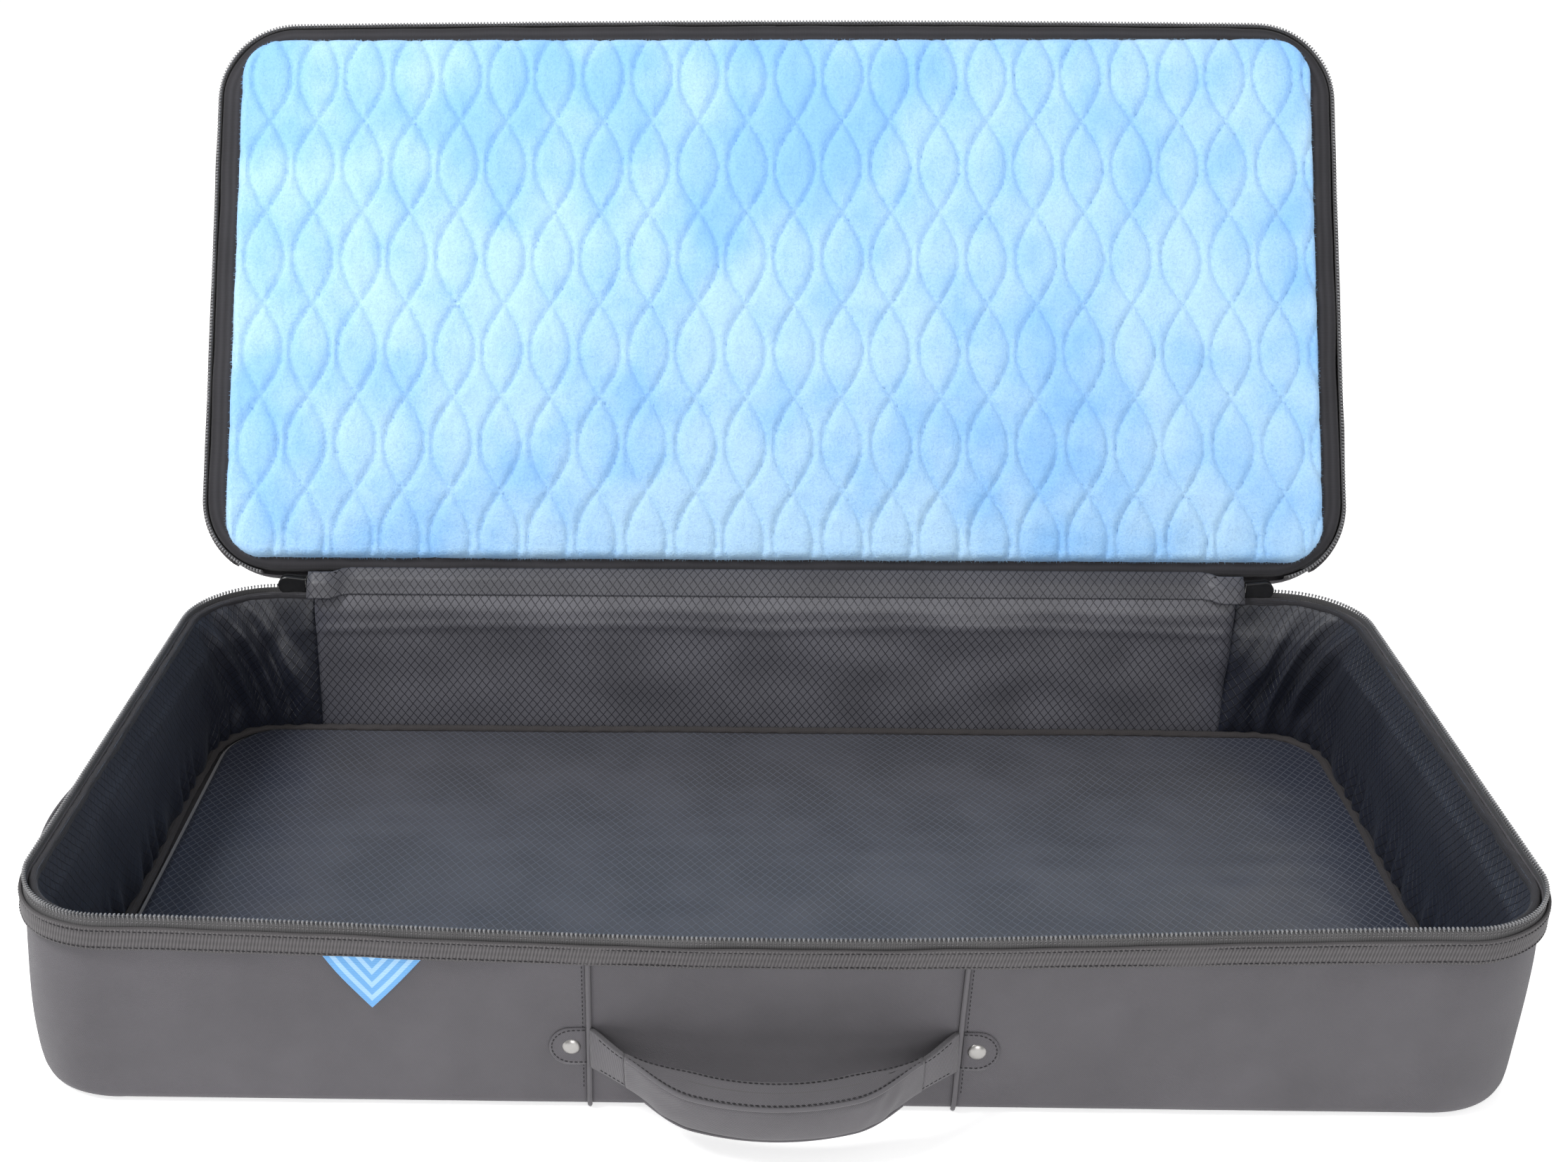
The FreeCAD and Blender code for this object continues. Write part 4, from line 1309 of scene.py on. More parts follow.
# ---- lid ----------------------------------------------------------------------------------------
@dataclass
class LidShell:
    """The lid's outer cloth, foam, quilted lining, binding and hinge cloth."""

    thickness: float = LID_THICKNESS
    lining_inset: float = 18.5 * MM
    column: float = 36.8 * MM
    column_shift: float = 0.435
    leaf: float = 72.7 * MM
    leaf_phase: float = -0.048
    swing: float = 15.2 * MM
    puff: float = 5.2 * MM
    back: float = RIM_Z + 4.6 * MM
    hinge_lining_half: float = 351 * MM
    hinge_outer_half: float = 328 * MM
    slider_reach: float = 323 * MM
    slider_room: float = 8.5 * MM

    def build(self) -> None:
        """Make the lid's soft pieces."""
        self.build_outside()
        self.build_binding()
        self.build_lining()
        self.build_hinge()

    def build_outside(self) -> None:
        """Outer cloth in one softly domed panel, and the short wall round it."""
        top = RIM_Z + self.thickness
        mesh = rounded_sheet("lid_outer", LID, 6.0 * MM, top - 1.1 * MM, 6 * MM)
        points = read_points(mesh)
        inside = edge_distance(LID, points, 6.0 * MM)
        wave = Ripple(0.3 * MM, 130 * MM, 71).at(points[:, 0], points[:, 1])
        points[:, 2] += smooth(inside / (30 * MM)) * (0.3 * MM + wave)
        points[:, 2] -= smooth(1 - inside / (7 * MM)) * 0.2 * MM
        write_points(mesh, open_lid(points))
        piece = add_piece("lid_outer_panel", thicken(mesh, 1.0 * MM, 1.0), Cloth.OUTER,
                          "lid", ["lid_panel"])
        profile = [(CLOTH_OUT - 1.0 * MM, RIM_Z + 7 * MM), (CLOTH_OUT - 1.4 * MM, top - 8 * MM)]
        for step in range(7):
            angle = step / 6 * math.pi / 2
            profile.append((CLOTH_OUT + 5 * MM - 6.4 * MM * math.cos(angle),
                            top - 6 * MM + 6 * MM * math.sin(angle)))
        profile.append((CLOTH_OUT + 8 * MM, top))
        mesh = strip("lid_wall", LID, 0.0, LID.length(), profile, 6 * MM)
        swing_open(mesh)
        add_piece("lid_side_wall", thicken(mesh, OUTER_CLOTH, 1.0), Cloth.OUTER, "lid",
                  ["lid_gusset"])
        dress("lid_foam", Cloth.FOAM)

    def build_binding(self) -> None:
        """The flat dark binding between plush and zip."""
        section = rounded_box(4.2 * MM, self.lining_inset + 9.0 * MM, RIM_Z + 0.6 * MM,
                              RIM_Z + 5.0 * MM, 1.9 * MM, 4)
        bunch = Ripple(0.35 * MM, 26 * MM, 81)

        def settle(along: Array, inset: Array, height: Array) -> tuple[Array, Array]:
            """The binding ripples a little, and dips where it meets the zip."""
            dip = smooth((9 * MM - inset) / (5 * MM)) * 1.2 * MM
            return inset + bunch.at(along, height), height + bunch.at(along, inset * 2) + dip

        mesh = strip("lid_binding", LID, 0.0, LID.length(), section, 3 * MM, shift=settle)
        swing_open(mesh)
        add_piece("lid_edge_binding", mesh, Cloth.BINDING, "lid", ["lid_lining_binding"])

    def seam_line(self, index: int, side: float, y: Array) -> Array:
        """Where one quilting seam lies at each y: a wave down the lid, which its neighbour mirrors."""
        wobble = 0.7 * MM * np.sin(y * 31.0 + index * 1.7)
        wave = np.sin(math.pi * (y / self.leaf + self.leaf_phase))
        return (index + self.column_shift) * self.column + side * self.swing * wave + wobble

    def rise(self, x: Array, y: Array) -> Array:
        """How far the plush stands up from its edge, towards the inside of the bag."""
        points = np.stack([x, y, y * 0], axis=1)
        inside = edge_distance(QUILT, points, 0.0)
        nearest = np.full_like(x, 1.0)
        slope = self.swing * math.pi / self.leaf * np.cos(math.pi * (y / self.leaf + self.leaf_phase))
        square = np.sqrt(1.0 + slope * slope)
        middle = np.floor(x / self.column - self.column_shift + 0.5)
        for offset in (-1, 0, 1):
            for side in (1.0, -1.0):
                gap = np.abs(x - self.seam_line(middle + offset, side, y)) / square
                nearest = np.minimum(nearest, gap)
        pillow = np.sqrt(np.clip(1.0 - (1.0 - np.clip(nearest / (8 * MM), 0, 1)) ** 2, 0, 1))
        fluff = Ripple(0.35 * MM, 22 * MM, 91).at(x, y)
        tufts = Ripple(0.12 * MM, 6 * MM, 93).at(x, y)
        swell = smooth(inside / (60 * MM)) * (1.0 * MM + Ripple(1.0 * MM, 160 * MM, 95).at(x, y))
        roll = np.sqrt(np.clip(1.0 - (1.0 - np.clip(inside / (7 * MM), 0, 1)) ** 2, 0, 1))
        quilting = self.puff * (0.15 + 0.85 * pillow)
        return roll * (5.2 * MM + quilting + fluff * (0.3 + pillow) + tufts + swell)

    def build_lining(self) -> None:
        """Quilted plush: a puffed sheet pinched along its seams, closed at the back."""
        mesh = rounded_sheet("plush", QUILT, 0.0, RIM_Z, 1.6 * MM)
        points = read_points(mesh)
        points[:, 2] = self.back - self.rise(points[:, 0], points[:, 1])
        write_points(mesh, points)
        build = bmesh.new()
        build.from_mesh(mesh)
        rim = [edge for edge in build.edges if edge.is_boundary]
        wall = bmesh.ops.extrude_edge_only(build, edges=rim)["geom"]
        corners = [part for part in wall if isinstance(part, bmesh.types.BMVert)]
        for corner in corners:
            corner.co.z = self.back + 0.6 * MM
        bmesh.ops.holes_fill(build, edges=[edge for edge in build.edges if edge.is_boundary], sides=0)
        bmesh.ops.recalc_face_normals(build, faces=build.faces)
        build.to_mesh(mesh)
        build.free()
        swing_open(mesh)
        piece = add_piece("quilted_plush", mesh, Cloth.PLUSH, "lid", ["lid_lining"])
        self.build_quilting()
        self.build_fringe()

    def build_quilting(self) -> None:
        """The stitches that lie in the quilting's grooves."""
        rows = []
        low, high = QUILT.centre_y - QUILT.half_y, QUILT.centre_y + QUILT.half_y
        y = np.arange(low + 3 * MM, high - 3 * MM, 2.0 * MM)
        reach = int(QUILT.half_x / self.column) + 2
        stitch = bmesh.new()
        thread = 0.36 * MM
        bmesh.ops.create_cone(stitch, segments=4, radius1=thread, radius2=thread, depth=2.3 * MM,
                              cap_ends=True)
        bmesh.ops.rotate(stitch, verts=stitch.verts, cent=(0, 0, 0),
                         matrix=Matrix.Rotation(math.pi / 2, 3, "Y"))
        master = mesh_of("stitch", stitch)
        for index in range(-reach, reach + 1):
            for side in (1.0, -1.0):
                x = self.seam_line(index, side, y)
                line = np.stack([x, y, self.back - self.rise(x, y) - 0.15 * MM], axis=1)
                kept = line[edge_distance(QUILT, line, 0.0) > 5 * MM]
                if len(kept) < 12:
                    continue
                single = bmesh.new()
                single.from_mesh(master)
                rows.append(row_through("seam", single, 3.3 * MM, kept, Vector((0, 0, -1))))
        mesh = joined("quilting", rows)
        swing_open(mesh)
        add_piece("quilting_stitches", mesh, Cloth.QUILT_THREAD, "lid")

    def build_fringe(self) -> None:
        """Pile that leans over the binding all round the plush."""
        draw = np.random.default_rng(17)
        tuft = bmesh.new()
        bmesh.ops.create_cone(tuft, segments=3, radius1=0.30 * MM, radius2=0.02 * MM, depth=3.4 * MM)
        bmesh.ops.rotate(tuft, verts=tuft.verts, cent=(0, 0, 0),
                         matrix=Matrix.Rotation(math.pi / 2, 3, "X"))
        pitch = 0.30 * MM
        count = int(QUILT.length() / pitch)
        mesh = row_of("fringe", tuft, pitch, count)
        points = read_points(mesh)
        each = len(points) // count
        hair = np.repeat(np.arange(count), each)
        slant = draw.normal(0.0, 0.5, count)[hair]
        length = draw.uniform(0.5, 1.2, count)[hair]
        root = draw.uniform(0.0, 1.0, count)[hair]
        out = -points[:, 1] * length
        along = points[:, 0] + out * slant + draw.normal(0, 0.3 * MM, count)[hair]
        inset = 1.4 * MM * root - out
        height = self.back - 0.5 * MM - 4.2 * MM * root + points[:, 2] + out * 0.2
        write_points(mesh, open_lid(QUILT.wrap(along, inset, height)))
        add_piece("plush_fringe", mesh, Cloth.PLUSH, "lid")

    def build_hinge(self) -> None:
        """Cloth across the hinge: the lining's end inside, and the outer cloth's end outside."""
        self.hinge_cloth(
            "hinge_lining", self.hinge_lining_half,
            [(HALF_Y - 8.6 * MM, RIM_Z - 5.6 * MM), (HALF_Y - 7.0 * MM, RIM_Z - 3.4 * MM)],
            [(3.5 * MM, -2.6 * MM), (8 * MM, -0.8 * MM), (13 * MM, 1.4 * MM)], Cloth.HINGE,
            ["hinge_strip"])
        self.hinge_cloth(
            "hinge_outer_cloth", self.hinge_outer_half,
            [(HALF_Y - 1.6 * MM, RIM_Z - 14 * MM), (HALF_Y - 1.2 * MM, RIM_Z - 5 * MM),
             (HALF_Y - 0.6 * MM, RIM_Z)],
            [(2 * MM, 3 * MM), (7 * MM, 7 * MM), (8.5 * MM, 12 * MM)], Cloth.OUTER, [])

    def hinge_cloth(
        self,
        name: str,
        half: float,
        fixed: Profile,
        swinging: Profile,
        cloth: Cloth,
        replaces: Sequence[str],
    ) -> None:
        """One strip of cloth that runs from the tray to the lid.

        Args:
            name: the piece's name.
            half: half of its length along the hinge.
            fixed: (y, z) points on the tray.
            swinging: (distance from the hinge, depth into the lid) points on the lid.
            cloth: its finish.
            replaces: frame nodes that it stands for.
        """
        rows = np.array([[0.0, y, z] for y, z in fixed])
        lid_rows = np.array([[0.0, HINGE_Y - reach, RIM_Z + depth] for reach, depth in swinging])
        line = np.vstack([rows, open_lid(lid_rows)])
        line_length = np.concatenate([[0.0], np.cumsum(np.linalg.norm(np.diff(line, axis=0), axis=1))])
        steps = 16
        mesh = flat_grid(name, round(2 * half / (6 * MM)), steps)
        unit = read_points(mesh)
        reach = unit[:, 1] * line_length[-1]
        points = np.stack([(unit[:, 0] - 0.5) * 2 * half, np.interp(reach, line_length, line[:, 1]),
                           np.interp(reach, line_length, line[:, 2])], axis=1)
        # The cloth passes inside the sliders where they can reach.
        beside = smooth((np.abs(points[:, 0]) - self.slider_reach) / (11 * MM))
        points[:, 1] -= self.slider_room * beside
        scale_uv(mesh, 2 * half, float(line_length[-1]))
        write_points(mesh, points)
        piece = add_piece(name, thicken(mesh, 0.8 * MM, 0.0), cloth, None, replaces)
        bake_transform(piece)


POCKET = Outline(315.0 * MM, 146.0 * MM, 28.0 * MM, centre_y=-26.0 * MM)


@dataclass
class LidPocket:
    """The flat pocket on the lid's outer face, with its zip."""

    base: float = RIM_Z + LID_THICKNESS
    zip_y: float = -150.0 * MM
    zip_half: float = 290.0 * MM
    slot_half: float = 8.0 * MM
    puff: float = 1.7 * MM

    def build(self) -> None:
        """Pocket cloth, its zip and the stitches that hold both."""
        dress("pocket_slider", Cloth.ENAMEL)
        dress("pocket_pull", Cloth.ENAMEL)
        self.build_cloth()
        self.build_zip()
        self.build_stitches()

    def lift(self, x: Array, y: Array) -> Array:
        """How high the pocket cloth lies: rolled down at its edges, slack in the middle."""
        points = np.stack([x, y, x * 0], axis=1)
        inside = edge_distance(POCKET, points, 0.0)
        beside_zip = np.maximum(np.abs(y - self.zip_y) - self.slot_half, np.abs(x) - self.zip_half - 6 * MM)
        edge = np.minimum(inside, np.maximum(beside_zip, 0.0))
        roll = np.sqrt(np.clip(edge / (2.2 * MM), 0.0, 1.0)) * 1.1 * MM
        seam = hump(edge, 4.5 * MM, 2.0 * MM) * 0.35 * MM
        slack = smooth((edge - 8 * MM) / (70 * MM))
        wave = Ripple(1.1 * MM, 150 * MM, 91).at(x, y) + Ripple(0.45 * MM, 60 * MM, 92).at(x, y)
        return 0.7 * MM + roll - seam + slack * (self.puff + wave)

    def build_cloth(self) -> None:
        """The pocket's cloth, with the slot for its zip."""
        mesh = rounded_sheet("pocket", POCKET, 0.0, self.base, 4 * MM)
        points = read_points(mesh)
        for side in (-1, 1):
            line = self.zip_y + side * self.slot_half
            points[:, 1] = np.where(np.abs(points[:, 1] - line) < 2 * MM, line, points[:, 1])
        build = bmesh.new()
        build.from_mesh(mesh)
        for vert, place in zip(build.verts, points):
            vert.co = place
        middles = [(face, face.calc_center_median()) for face in build.faces]
        slot = [face for face, at in middles
                if abs(at.y - self.zip_y) < self.slot_half and abs(at.x) < self.zip_half + 6 * MM]
        bmesh.ops.delete(build, geom=slot, context="FACES")
        build.to_mesh(mesh)
        build.free()
        points = read_points(mesh)
        points[:, 2] += self.lift(points[:, 0], points[:, 1])
        write_points(mesh, open_lid(points))
        piece = add_piece("lid_pocket_cloth", thicken(mesh, 0.8 * MM, 1.0), Cloth.OUTER,
                          "lid", ["lid_pocket"])
        2 * POCKET.half_x
        2 * POCKET.half_y

    def build_zip(self) -> None:
        """The pocket's tape, and a coil of loops along its middle."""
        half = self.slot_half + 3 * MM
        mesh = flat_grid("pocket_tape", 120, 8)
        unit = read_points(mesh)
        width = 2 * (self.zip_half + 6 * MM)
        points = np.stack([(unit[:, 0] - 0.5) * width, self.zip_y + (unit[:, 1] - 0.5) * 2 * half,
                           np.full(len(unit), self.base + 0.35 * MM)], axis=1)
        scale_uv(mesh, width, 2 * half)
        write_points(mesh, open_lid(points))
        add_piece("pocket_zip_tape", thicken(mesh, 0.5 * MM, 1.0), Cloth.ZIP_TAPE, "lid",
                  ["pocket_zipper_tape"])
        rows = []
        for side in (-1, 1):
            x = np.linspace(-self.zip_half, self.zip_half, 120)
            line = np.stack([x, np.full_like(x, self.zip_y + side * 0.85 * MM),
                             np.full_like(x, self.base + 1.35 * MM)], axis=1)
            rows.append(row_through("loops", bead(1.1 * MM, 2.3 * MM, 1.3 * MM, 0.0, 5), 2.0 * MM, line,
                                    Vector((0, 0, 1))))
        mesh = joined("pocket_coil", rows)
        swing_open(mesh)
        add_piece("pocket_coil", mesh, Cloth.COIL, "lid", ["pocket_zipper_coil"])

    def build_stitches(self) -> None:
        """A line of stitches round the pocket and along both sides of its zip."""
        edge = np.linspace(0.0, POCKET.length(), 1200)
        loops = [POCKET.wrap(edge, np.full_like(edge, 4.5 * MM), edge * 0)]
        x = np.linspace(-self.zip_half, self.zip_half, 300)
        for side in (-1, 1):
            y = np.full_like(x, self.zip_y + side * (self.slot_half + 4.5 * MM))
            loops.append(np.stack([x, y, x * 0], axis=1))
        rows = []
        for line in loops:
            line[:, 2] = self.base + self.lift(line[:, 0], line[:, 1]) + 0.85 * MM
            rows.append(row_through("stitches", bead(2.2 * MM, 0.8 * MM, 0.5 * MM, 0.0, 5), 3.2 * MM, line,
                                    Vector((0, 0, 1))))
        mesh = joined("pocket_stitches", rows)
        swing_open(mesh)
        add_piece("pocket_stitches", mesh, Cloth.THREAD, "lid")


# ---- handles ------------------------------------------------------------------------------------
@dataclass
class Handle:
    """A carry handle sewn into two seams: webbing, a padded wrap, patches and rivets.

    Args of the class: the frame's prefix, its body, the turn about Z that faces it outwards, and
    the wall that it is sewn to with the length along it of its middle.
    """

    prefix: str
    turn: float
    shell: TrayShell
    seat: float
    anchor_half: float = 101.5 * MM
    rise: float = 39.5 * MM
    droop: float = math.radians(13.7)
    strap_width: float = 28.0 * MM
    height: float = 45.5 * MM
    stand: float = 2.2 * MM
    grip_half: float = 86 * MM
    strap_split: float = 82 * MM

    def place(self) -> Array:
        """The middle of the line between its two anchors."""
        along = self.seat + np.array([-1.0, 1.0]) * self.anchor_half
        level = np.full(2, self.height)
        return self.shell.on_cloth(along, level, 0.0).mean(axis=0)

    def outwards(self) -> Vector:
        """The direction that the handle faces."""
        return Matrix.Rotation(self.turn, 3, "Z") @ Vector((0.0, -1.0, 0.0))

    def curve_radius(self) -> float:
        """The radius of the handle's arc."""
        return (self.anchor_half ** 2 + self.rise ** 2) / (2 * self.rise)

    def lay(self, points: Array, settle: float = 0.0) -> Array:
        """Bend straight work along the handle's arc and hang it on the bag.

        Args:
            points: x along the handle, y outwards, z up.
            settle: extra droop, in radians.
        Returns:
            The points in place.
        """
        radius = self.curve_radius()
        angle = points[:, 0] / radius
        reach = radius + points[:, 1]
        u = reach * np.sin(angle)
        v = reach * np.cos(angle) + self.stand + self.rise - radius
        w = points[:, 2]
        share = smooth(v / (18 * MM))
        drop = (self.droop + settle) * share
        pivot_v = self.stand
        out = pivot_v + (v - pivot_v) * np.cos(drop) + w * np.sin(drop)
        up = w * np.cos(drop) - (v - pivot_v) * np.sin(drop)
        local = np.stack([-u, -out, up], axis=1)
        turn = np.array(Matrix.Rotation(self.turn, 3, "Z"))
        return local @ turn.T + self.place()

    def build(self) -> None:
        """Strap, grip, piping, stitches, patches and rivets."""
        self.build_strap()
        self.build_grip()
        self.build_patches()

    def bar(self, name: str, half_length: float, section: Profile, pitch: float, rows: Optional[int] = None,
            shape: Optional[Callable[[Array], Array]] = None) -> bpy.types.Mesh:
        """A closed section drawn out straight along the handle, then bent to its arc."""
        columns = round(2 * half_length / pitch)
        if rows:
            ys, zs, width = resample(section, rows)
        else:
            line = np.array(section, float)
            ys, zs = line[:, 0], line[:, 1]
            width = float(np.hypot(*np.diff(line, axis=0).T).sum())
        mesh = flat_grid(name, columns, len(ys) - 1)
        unit = read_points(mesh)
        row = np.rint(unit[:, 1] * (len(ys) - 1)).astype(int)
        points = np.stack([(unit[:, 0] - 0.5) * 2 * half_length, ys[row], zs[row]], axis=1)
        scale_uv(mesh, 2 * half_length, width)
        if shape is not None:
            points = shape(points)
        write_points(mesh, self.lay(points))
        merge(mesh)
        close_ends(mesh)
        return mesh

    def build_strap(self) -> None:
        """Webbing with stitched edges, from seam to seam."""
        half = self.strap_width / 2
        arc_half = math.asin(self.anchor_half / self.curve_radius()) * self.curve_radius()
        section = rounded_box(-1.2 * MM, 1.2 * MM, -half, half, 0.9 * MM, 3)
        mesh = self.bar("strap", arc_half + 1 * MM, section, 3 * MM)
        for part, keep in (("free", 0), ("left_end", -1), ("right_end", 1)):
            build = bmesh.new()
            build.from_mesh(mesh)
            centre = self.lay(np.array([[0.0, 0.0, 0.0]]))[0]
            along = Vector((-math.cos(self.turn), -math.sin(self.turn), 0.0))
            for side in (-1, 1):
                plane = Vector(centre) + along * side * self.strap_split
                whole = list(build.verts) + list(build.edges) + list(build.faces)
                outer_gone = keep == 0
                inner_gone = keep == side
                other_gone = keep == -side
                bmesh.ops.bisect_plane(build, geom=whole, plane_co=plane, plane_no=along * side,
                                       clear_outer=outer_gone or other_gone, clear_inner=inner_gone)
                edges = [edge for edge in build.edges if edge.is_boundary]
                bmesh.ops.holes_fill(build, edges=edges, sides=0)
            part_mesh = mesh_of(part, build)
            name = f"{self.prefix}_strap_{part}"
            if keep == 0:
                add_piece(name, part_mesh, Cloth.WEBBING, self.prefix,
                          [f"{self.prefix}_strap"])
            else:
                replaces = [f"{self.prefix}_strap_ends"] if keep < 0 else []
                piece = add_piece(name, part_mesh, Cloth.WRAP, None, replaces)
                self.blend_end(piece, keep)
        self.build_strap_stitches(arc_half)

    def blend_end(self, piece: bpy.types.Object, side: int) -> None:
        """Bake a strap end's transform into its mesh; the two end points worked out here are not used."""
        arc = self.curve_radius()
        near_seam = arc * math.asin((self.anchor_half - 4 * MM) / arc)
        start = self.lay(np.array([[side * near_seam, 0.0, 0.0]]))[0]
        end = self.lay(np.array([[side * arc * math.asin(self.strap_split / arc), 0.0, 0.0]]))[0]
        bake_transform(piece)

    def build_strap_stitches(self, arc_half: float) -> None:
        """A seam along both edges of the visible webbing."""
        rows = []
        inner = self.strap_split + 2 * MM
        for side in (-1, 1):
            for level in (-1, 1):
                low, high = sorted((side * inner, side * (arc_half - 5 * MM)))
                mesh = row_of("stitches", bead(2.3 * MM, 0.6 * MM, 0.85 * MM, 0.0, 5), 3.0 * MM,
                              int((high - low) / (3.0 * MM)))
                points = read_points(mesh)
                points[:, 0] += low + 1.5 * MM
                points[:, 1] += 1.25 * MM
                points[:, 2] += level * (self.strap_width / 2 - 2.6 * MM)
                write_points(mesh, self.lay(points))
                rows.append(mesh)
        for index, side in enumerate(("left", "right")):
            mesh = joined("stitches", rows[2 * index:2 * index + 2])
            piece = add_piece(f"{self.prefix}_end_stitches_{side}", mesh, Cloth.THREAD, None)
            self.blend_end(piece, -1 if index == 0 else 1)

    @staticmethod
    def grip_shape(u: Array, half: float) -> tuple[Array, Array, Array]:
        """How full and how tall the wrap is at each place along it, and how far it sags there."""
        share = smooth(np.clip((half - np.abs(u)) / (44 * MM), 0.0, 1.0))
        return 0.17 + 0.83 * share, 1.03 + 0.04 * share, 1.0 * MM * share

    def build_grip(self) -> None:
        """The padded wrap, drawn in towards the strap at both ends, with its piping and stitches."""
        half = self.grip_half
        section = rounded_box(-9.5 * MM, 10.5 * MM, -13.5 * MM, 14.0 * MM, 4.5 * MM, 5)
        pinch = Ripple(0.8 * MM, 15 * MM, 101)
        soft = Ripple(0.4 * MM, 60 * MM, 103)

        def shape(points: Array) -> Array:
            """Draw the ends in, round the outer face, sag the lower side, and crease the cloth."""
            u = points[:, 0]
            full, tall, sag = self.grip_shape(u, half)
            near_end = hump(np.abs(u), half - 20 * MM, 20 * MM)
            crease = pinch.at(u + points[:, 2] * 0.8, points[:, 2] * 0.5) * near_end
            crown = (1.0 - (points[:, 2] / (15 * MM)) ** 2) * 2.0 * MM * full * (points[:, 1] > 0)
            result = points.copy()
            outward = np.sign(points[:, 1])
            folds = crease + soft.at(u, points[:, 2])
            result[:, 1] = points[:, 1] * full + crown + outward * folds * full
            result[:, 2] = points[:, 2] * tall - sag
            return result

        mesh = self.bar("grip", half, section, 1.6 * MM, 48, shape)
        piece = add_piece(f"{self.prefix}_padded_grip", mesh, Cloth.WRAP, self.prefix,
                          [f"{self.prefix}_grip"])
        self.build_grip_seams(half)

    def along_grip(self, half: float, out: float, up: float, margin: float = 2 * MM) -> Array:
        """A line along the wrap, at a given place in its section."""
        u = np.linspace(-half + margin, half - margin, 90)
        full, tall, sag = self.grip_shape(u, half)
        return self.lay(np.stack([u, out * full, up * tall - sag], axis=1))

    def build_grip_seams(self, half: float) -> None:
        """Piping along both outer edges, and a line of stitches along both edges of the top."""
        pipes = [tube("piping", self.along_grip(half, 10.2 * MM, 13.2 * MM), 1.25 * MM),
                 tube("piping", self.along_grip(half, 9.6 * MM, -12.9 * MM, 14 * MM), 1.0 * MM)]
        add_piece(f"{self.prefix}_grip_piping", joined("piping", pipes), Cloth.WRAP,
                  self.prefix)
        rows = []
        for out in (-6.0 * MM, 8.4 * MM):
            rows.append(row_through("stitches", bead(2.4 * MM, 0.85 * MM, 0.6 * MM, 0.0, 5), 3.1 * MM,
                                    self.along_grip(half, out, 14.15 * MM), Vector((0, 0, 1))))
        add_piece(f"{self.prefix}_grip_stitches", joined("stitches", rows), Cloth.THREAD,
                  self.prefix)

    def on_wall(self, u: Array, up: Array, out: "Array | float") -> Array:
        """Points on the bag's wall beside the handle."""
        return self.shell.on_cloth(self.seat - u, self.height + up, out)

    def build_patches(self) -> None:
        """Two sewn D-shaped patches, the stitches round them, and a capped rivet in each."""
        patches = []
        seams = []
        caps = []
        for side in (-1, 1):
            straight = 105.5 * MM
            middle = 114.0 * MM
            half = 13.5 * MM
            turn = np.linspace(-math.pi / 2, math.pi / 2, 20)
            u = np.concatenate([[straight], middle + 12.0 * MM * np.cos(turn), [straight]])
            w = np.concatenate([[-half], half * np.sin(turn), [half]])
            build = bmesh.new()
            face = build.faces.new([build.verts.new((side * a, b, 0.0)) for a, b in zip(u, w)])
            top = bmesh.ops.extrude_face_region(build, geom=[face])["geom"]
            bmesh.ops.translate(build, verts=[part for part in top if isinstance(part, bmesh.types.BMVert)],
                                vec=(0.0, 0.0, 0.55 * MM))
            for cut in np.arange(straight + 3 * MM, middle + 12 * MM, 3 * MM):
                bmesh.ops.bisect_plane(build, geom=[*build.verts, *build.edges, *build.faces],
                                       plane_co=(side * cut, 0, 0), plane_no=(1, 0, 0))
            for cut in np.arange(-half + 3 * MM, half, 3 * MM):
                bmesh.ops.bisect_plane(build, geom=[*build.verts, *build.edges, *build.faces],
                                       plane_co=(0, cut, 0), plane_no=(0, 1, 0))
            bmesh.ops.recalc_face_normals(build, faces=build.faces)
            layer = build.loops.layers.uv.new("cloth")
            for corner in (loop for wall in build.faces for loop in wall.loops):
                corner[layer].uv = (self.seat - corner.vert.co.x, self.height + corner.vert.co.y)
            mesh = mesh_of("patch", build)
            flat = read_points(mesh)
            write_points(mesh, self.on_wall(flat[:, 0], flat[:, 1], flat[:, 2] + 0.25 * MM))
            patches.append(mesh)
            edge = densify(np.stack([side * (u - 1.5 * MM), w * 0.87, w * 0], axis=1), 1.0 * MM)
            line = self.on_wall(edge[:, 0], edge[:, 1], 0.9 * MM)
            seams.append(row_through("seam", bead(2.1 * MM, 0.85 * MM, 0.6 * MM, 0.0, 5), 2.8 * MM, line,
                                     self.outwards()))
            caps.append(self.rivet_cap(side * 113.5 * MM))
        patch = joined("patches", patches)
        merge(patch)
        add_piece(f"{self.prefix}_sewn_patches", patch, Cloth.OUTER, "tray",
                  [f"{self.prefix}_patches"])
        add_piece(f"{self.prefix}_patch_stitches", joined("seams", seams), Cloth.THREAD,
                  "tray")
        add_piece(f"{self.prefix}_capped_rivets", joined("caps", caps), Cloth.NICKEL,
                  "tray", [f"{self.prefix}_rivets"])

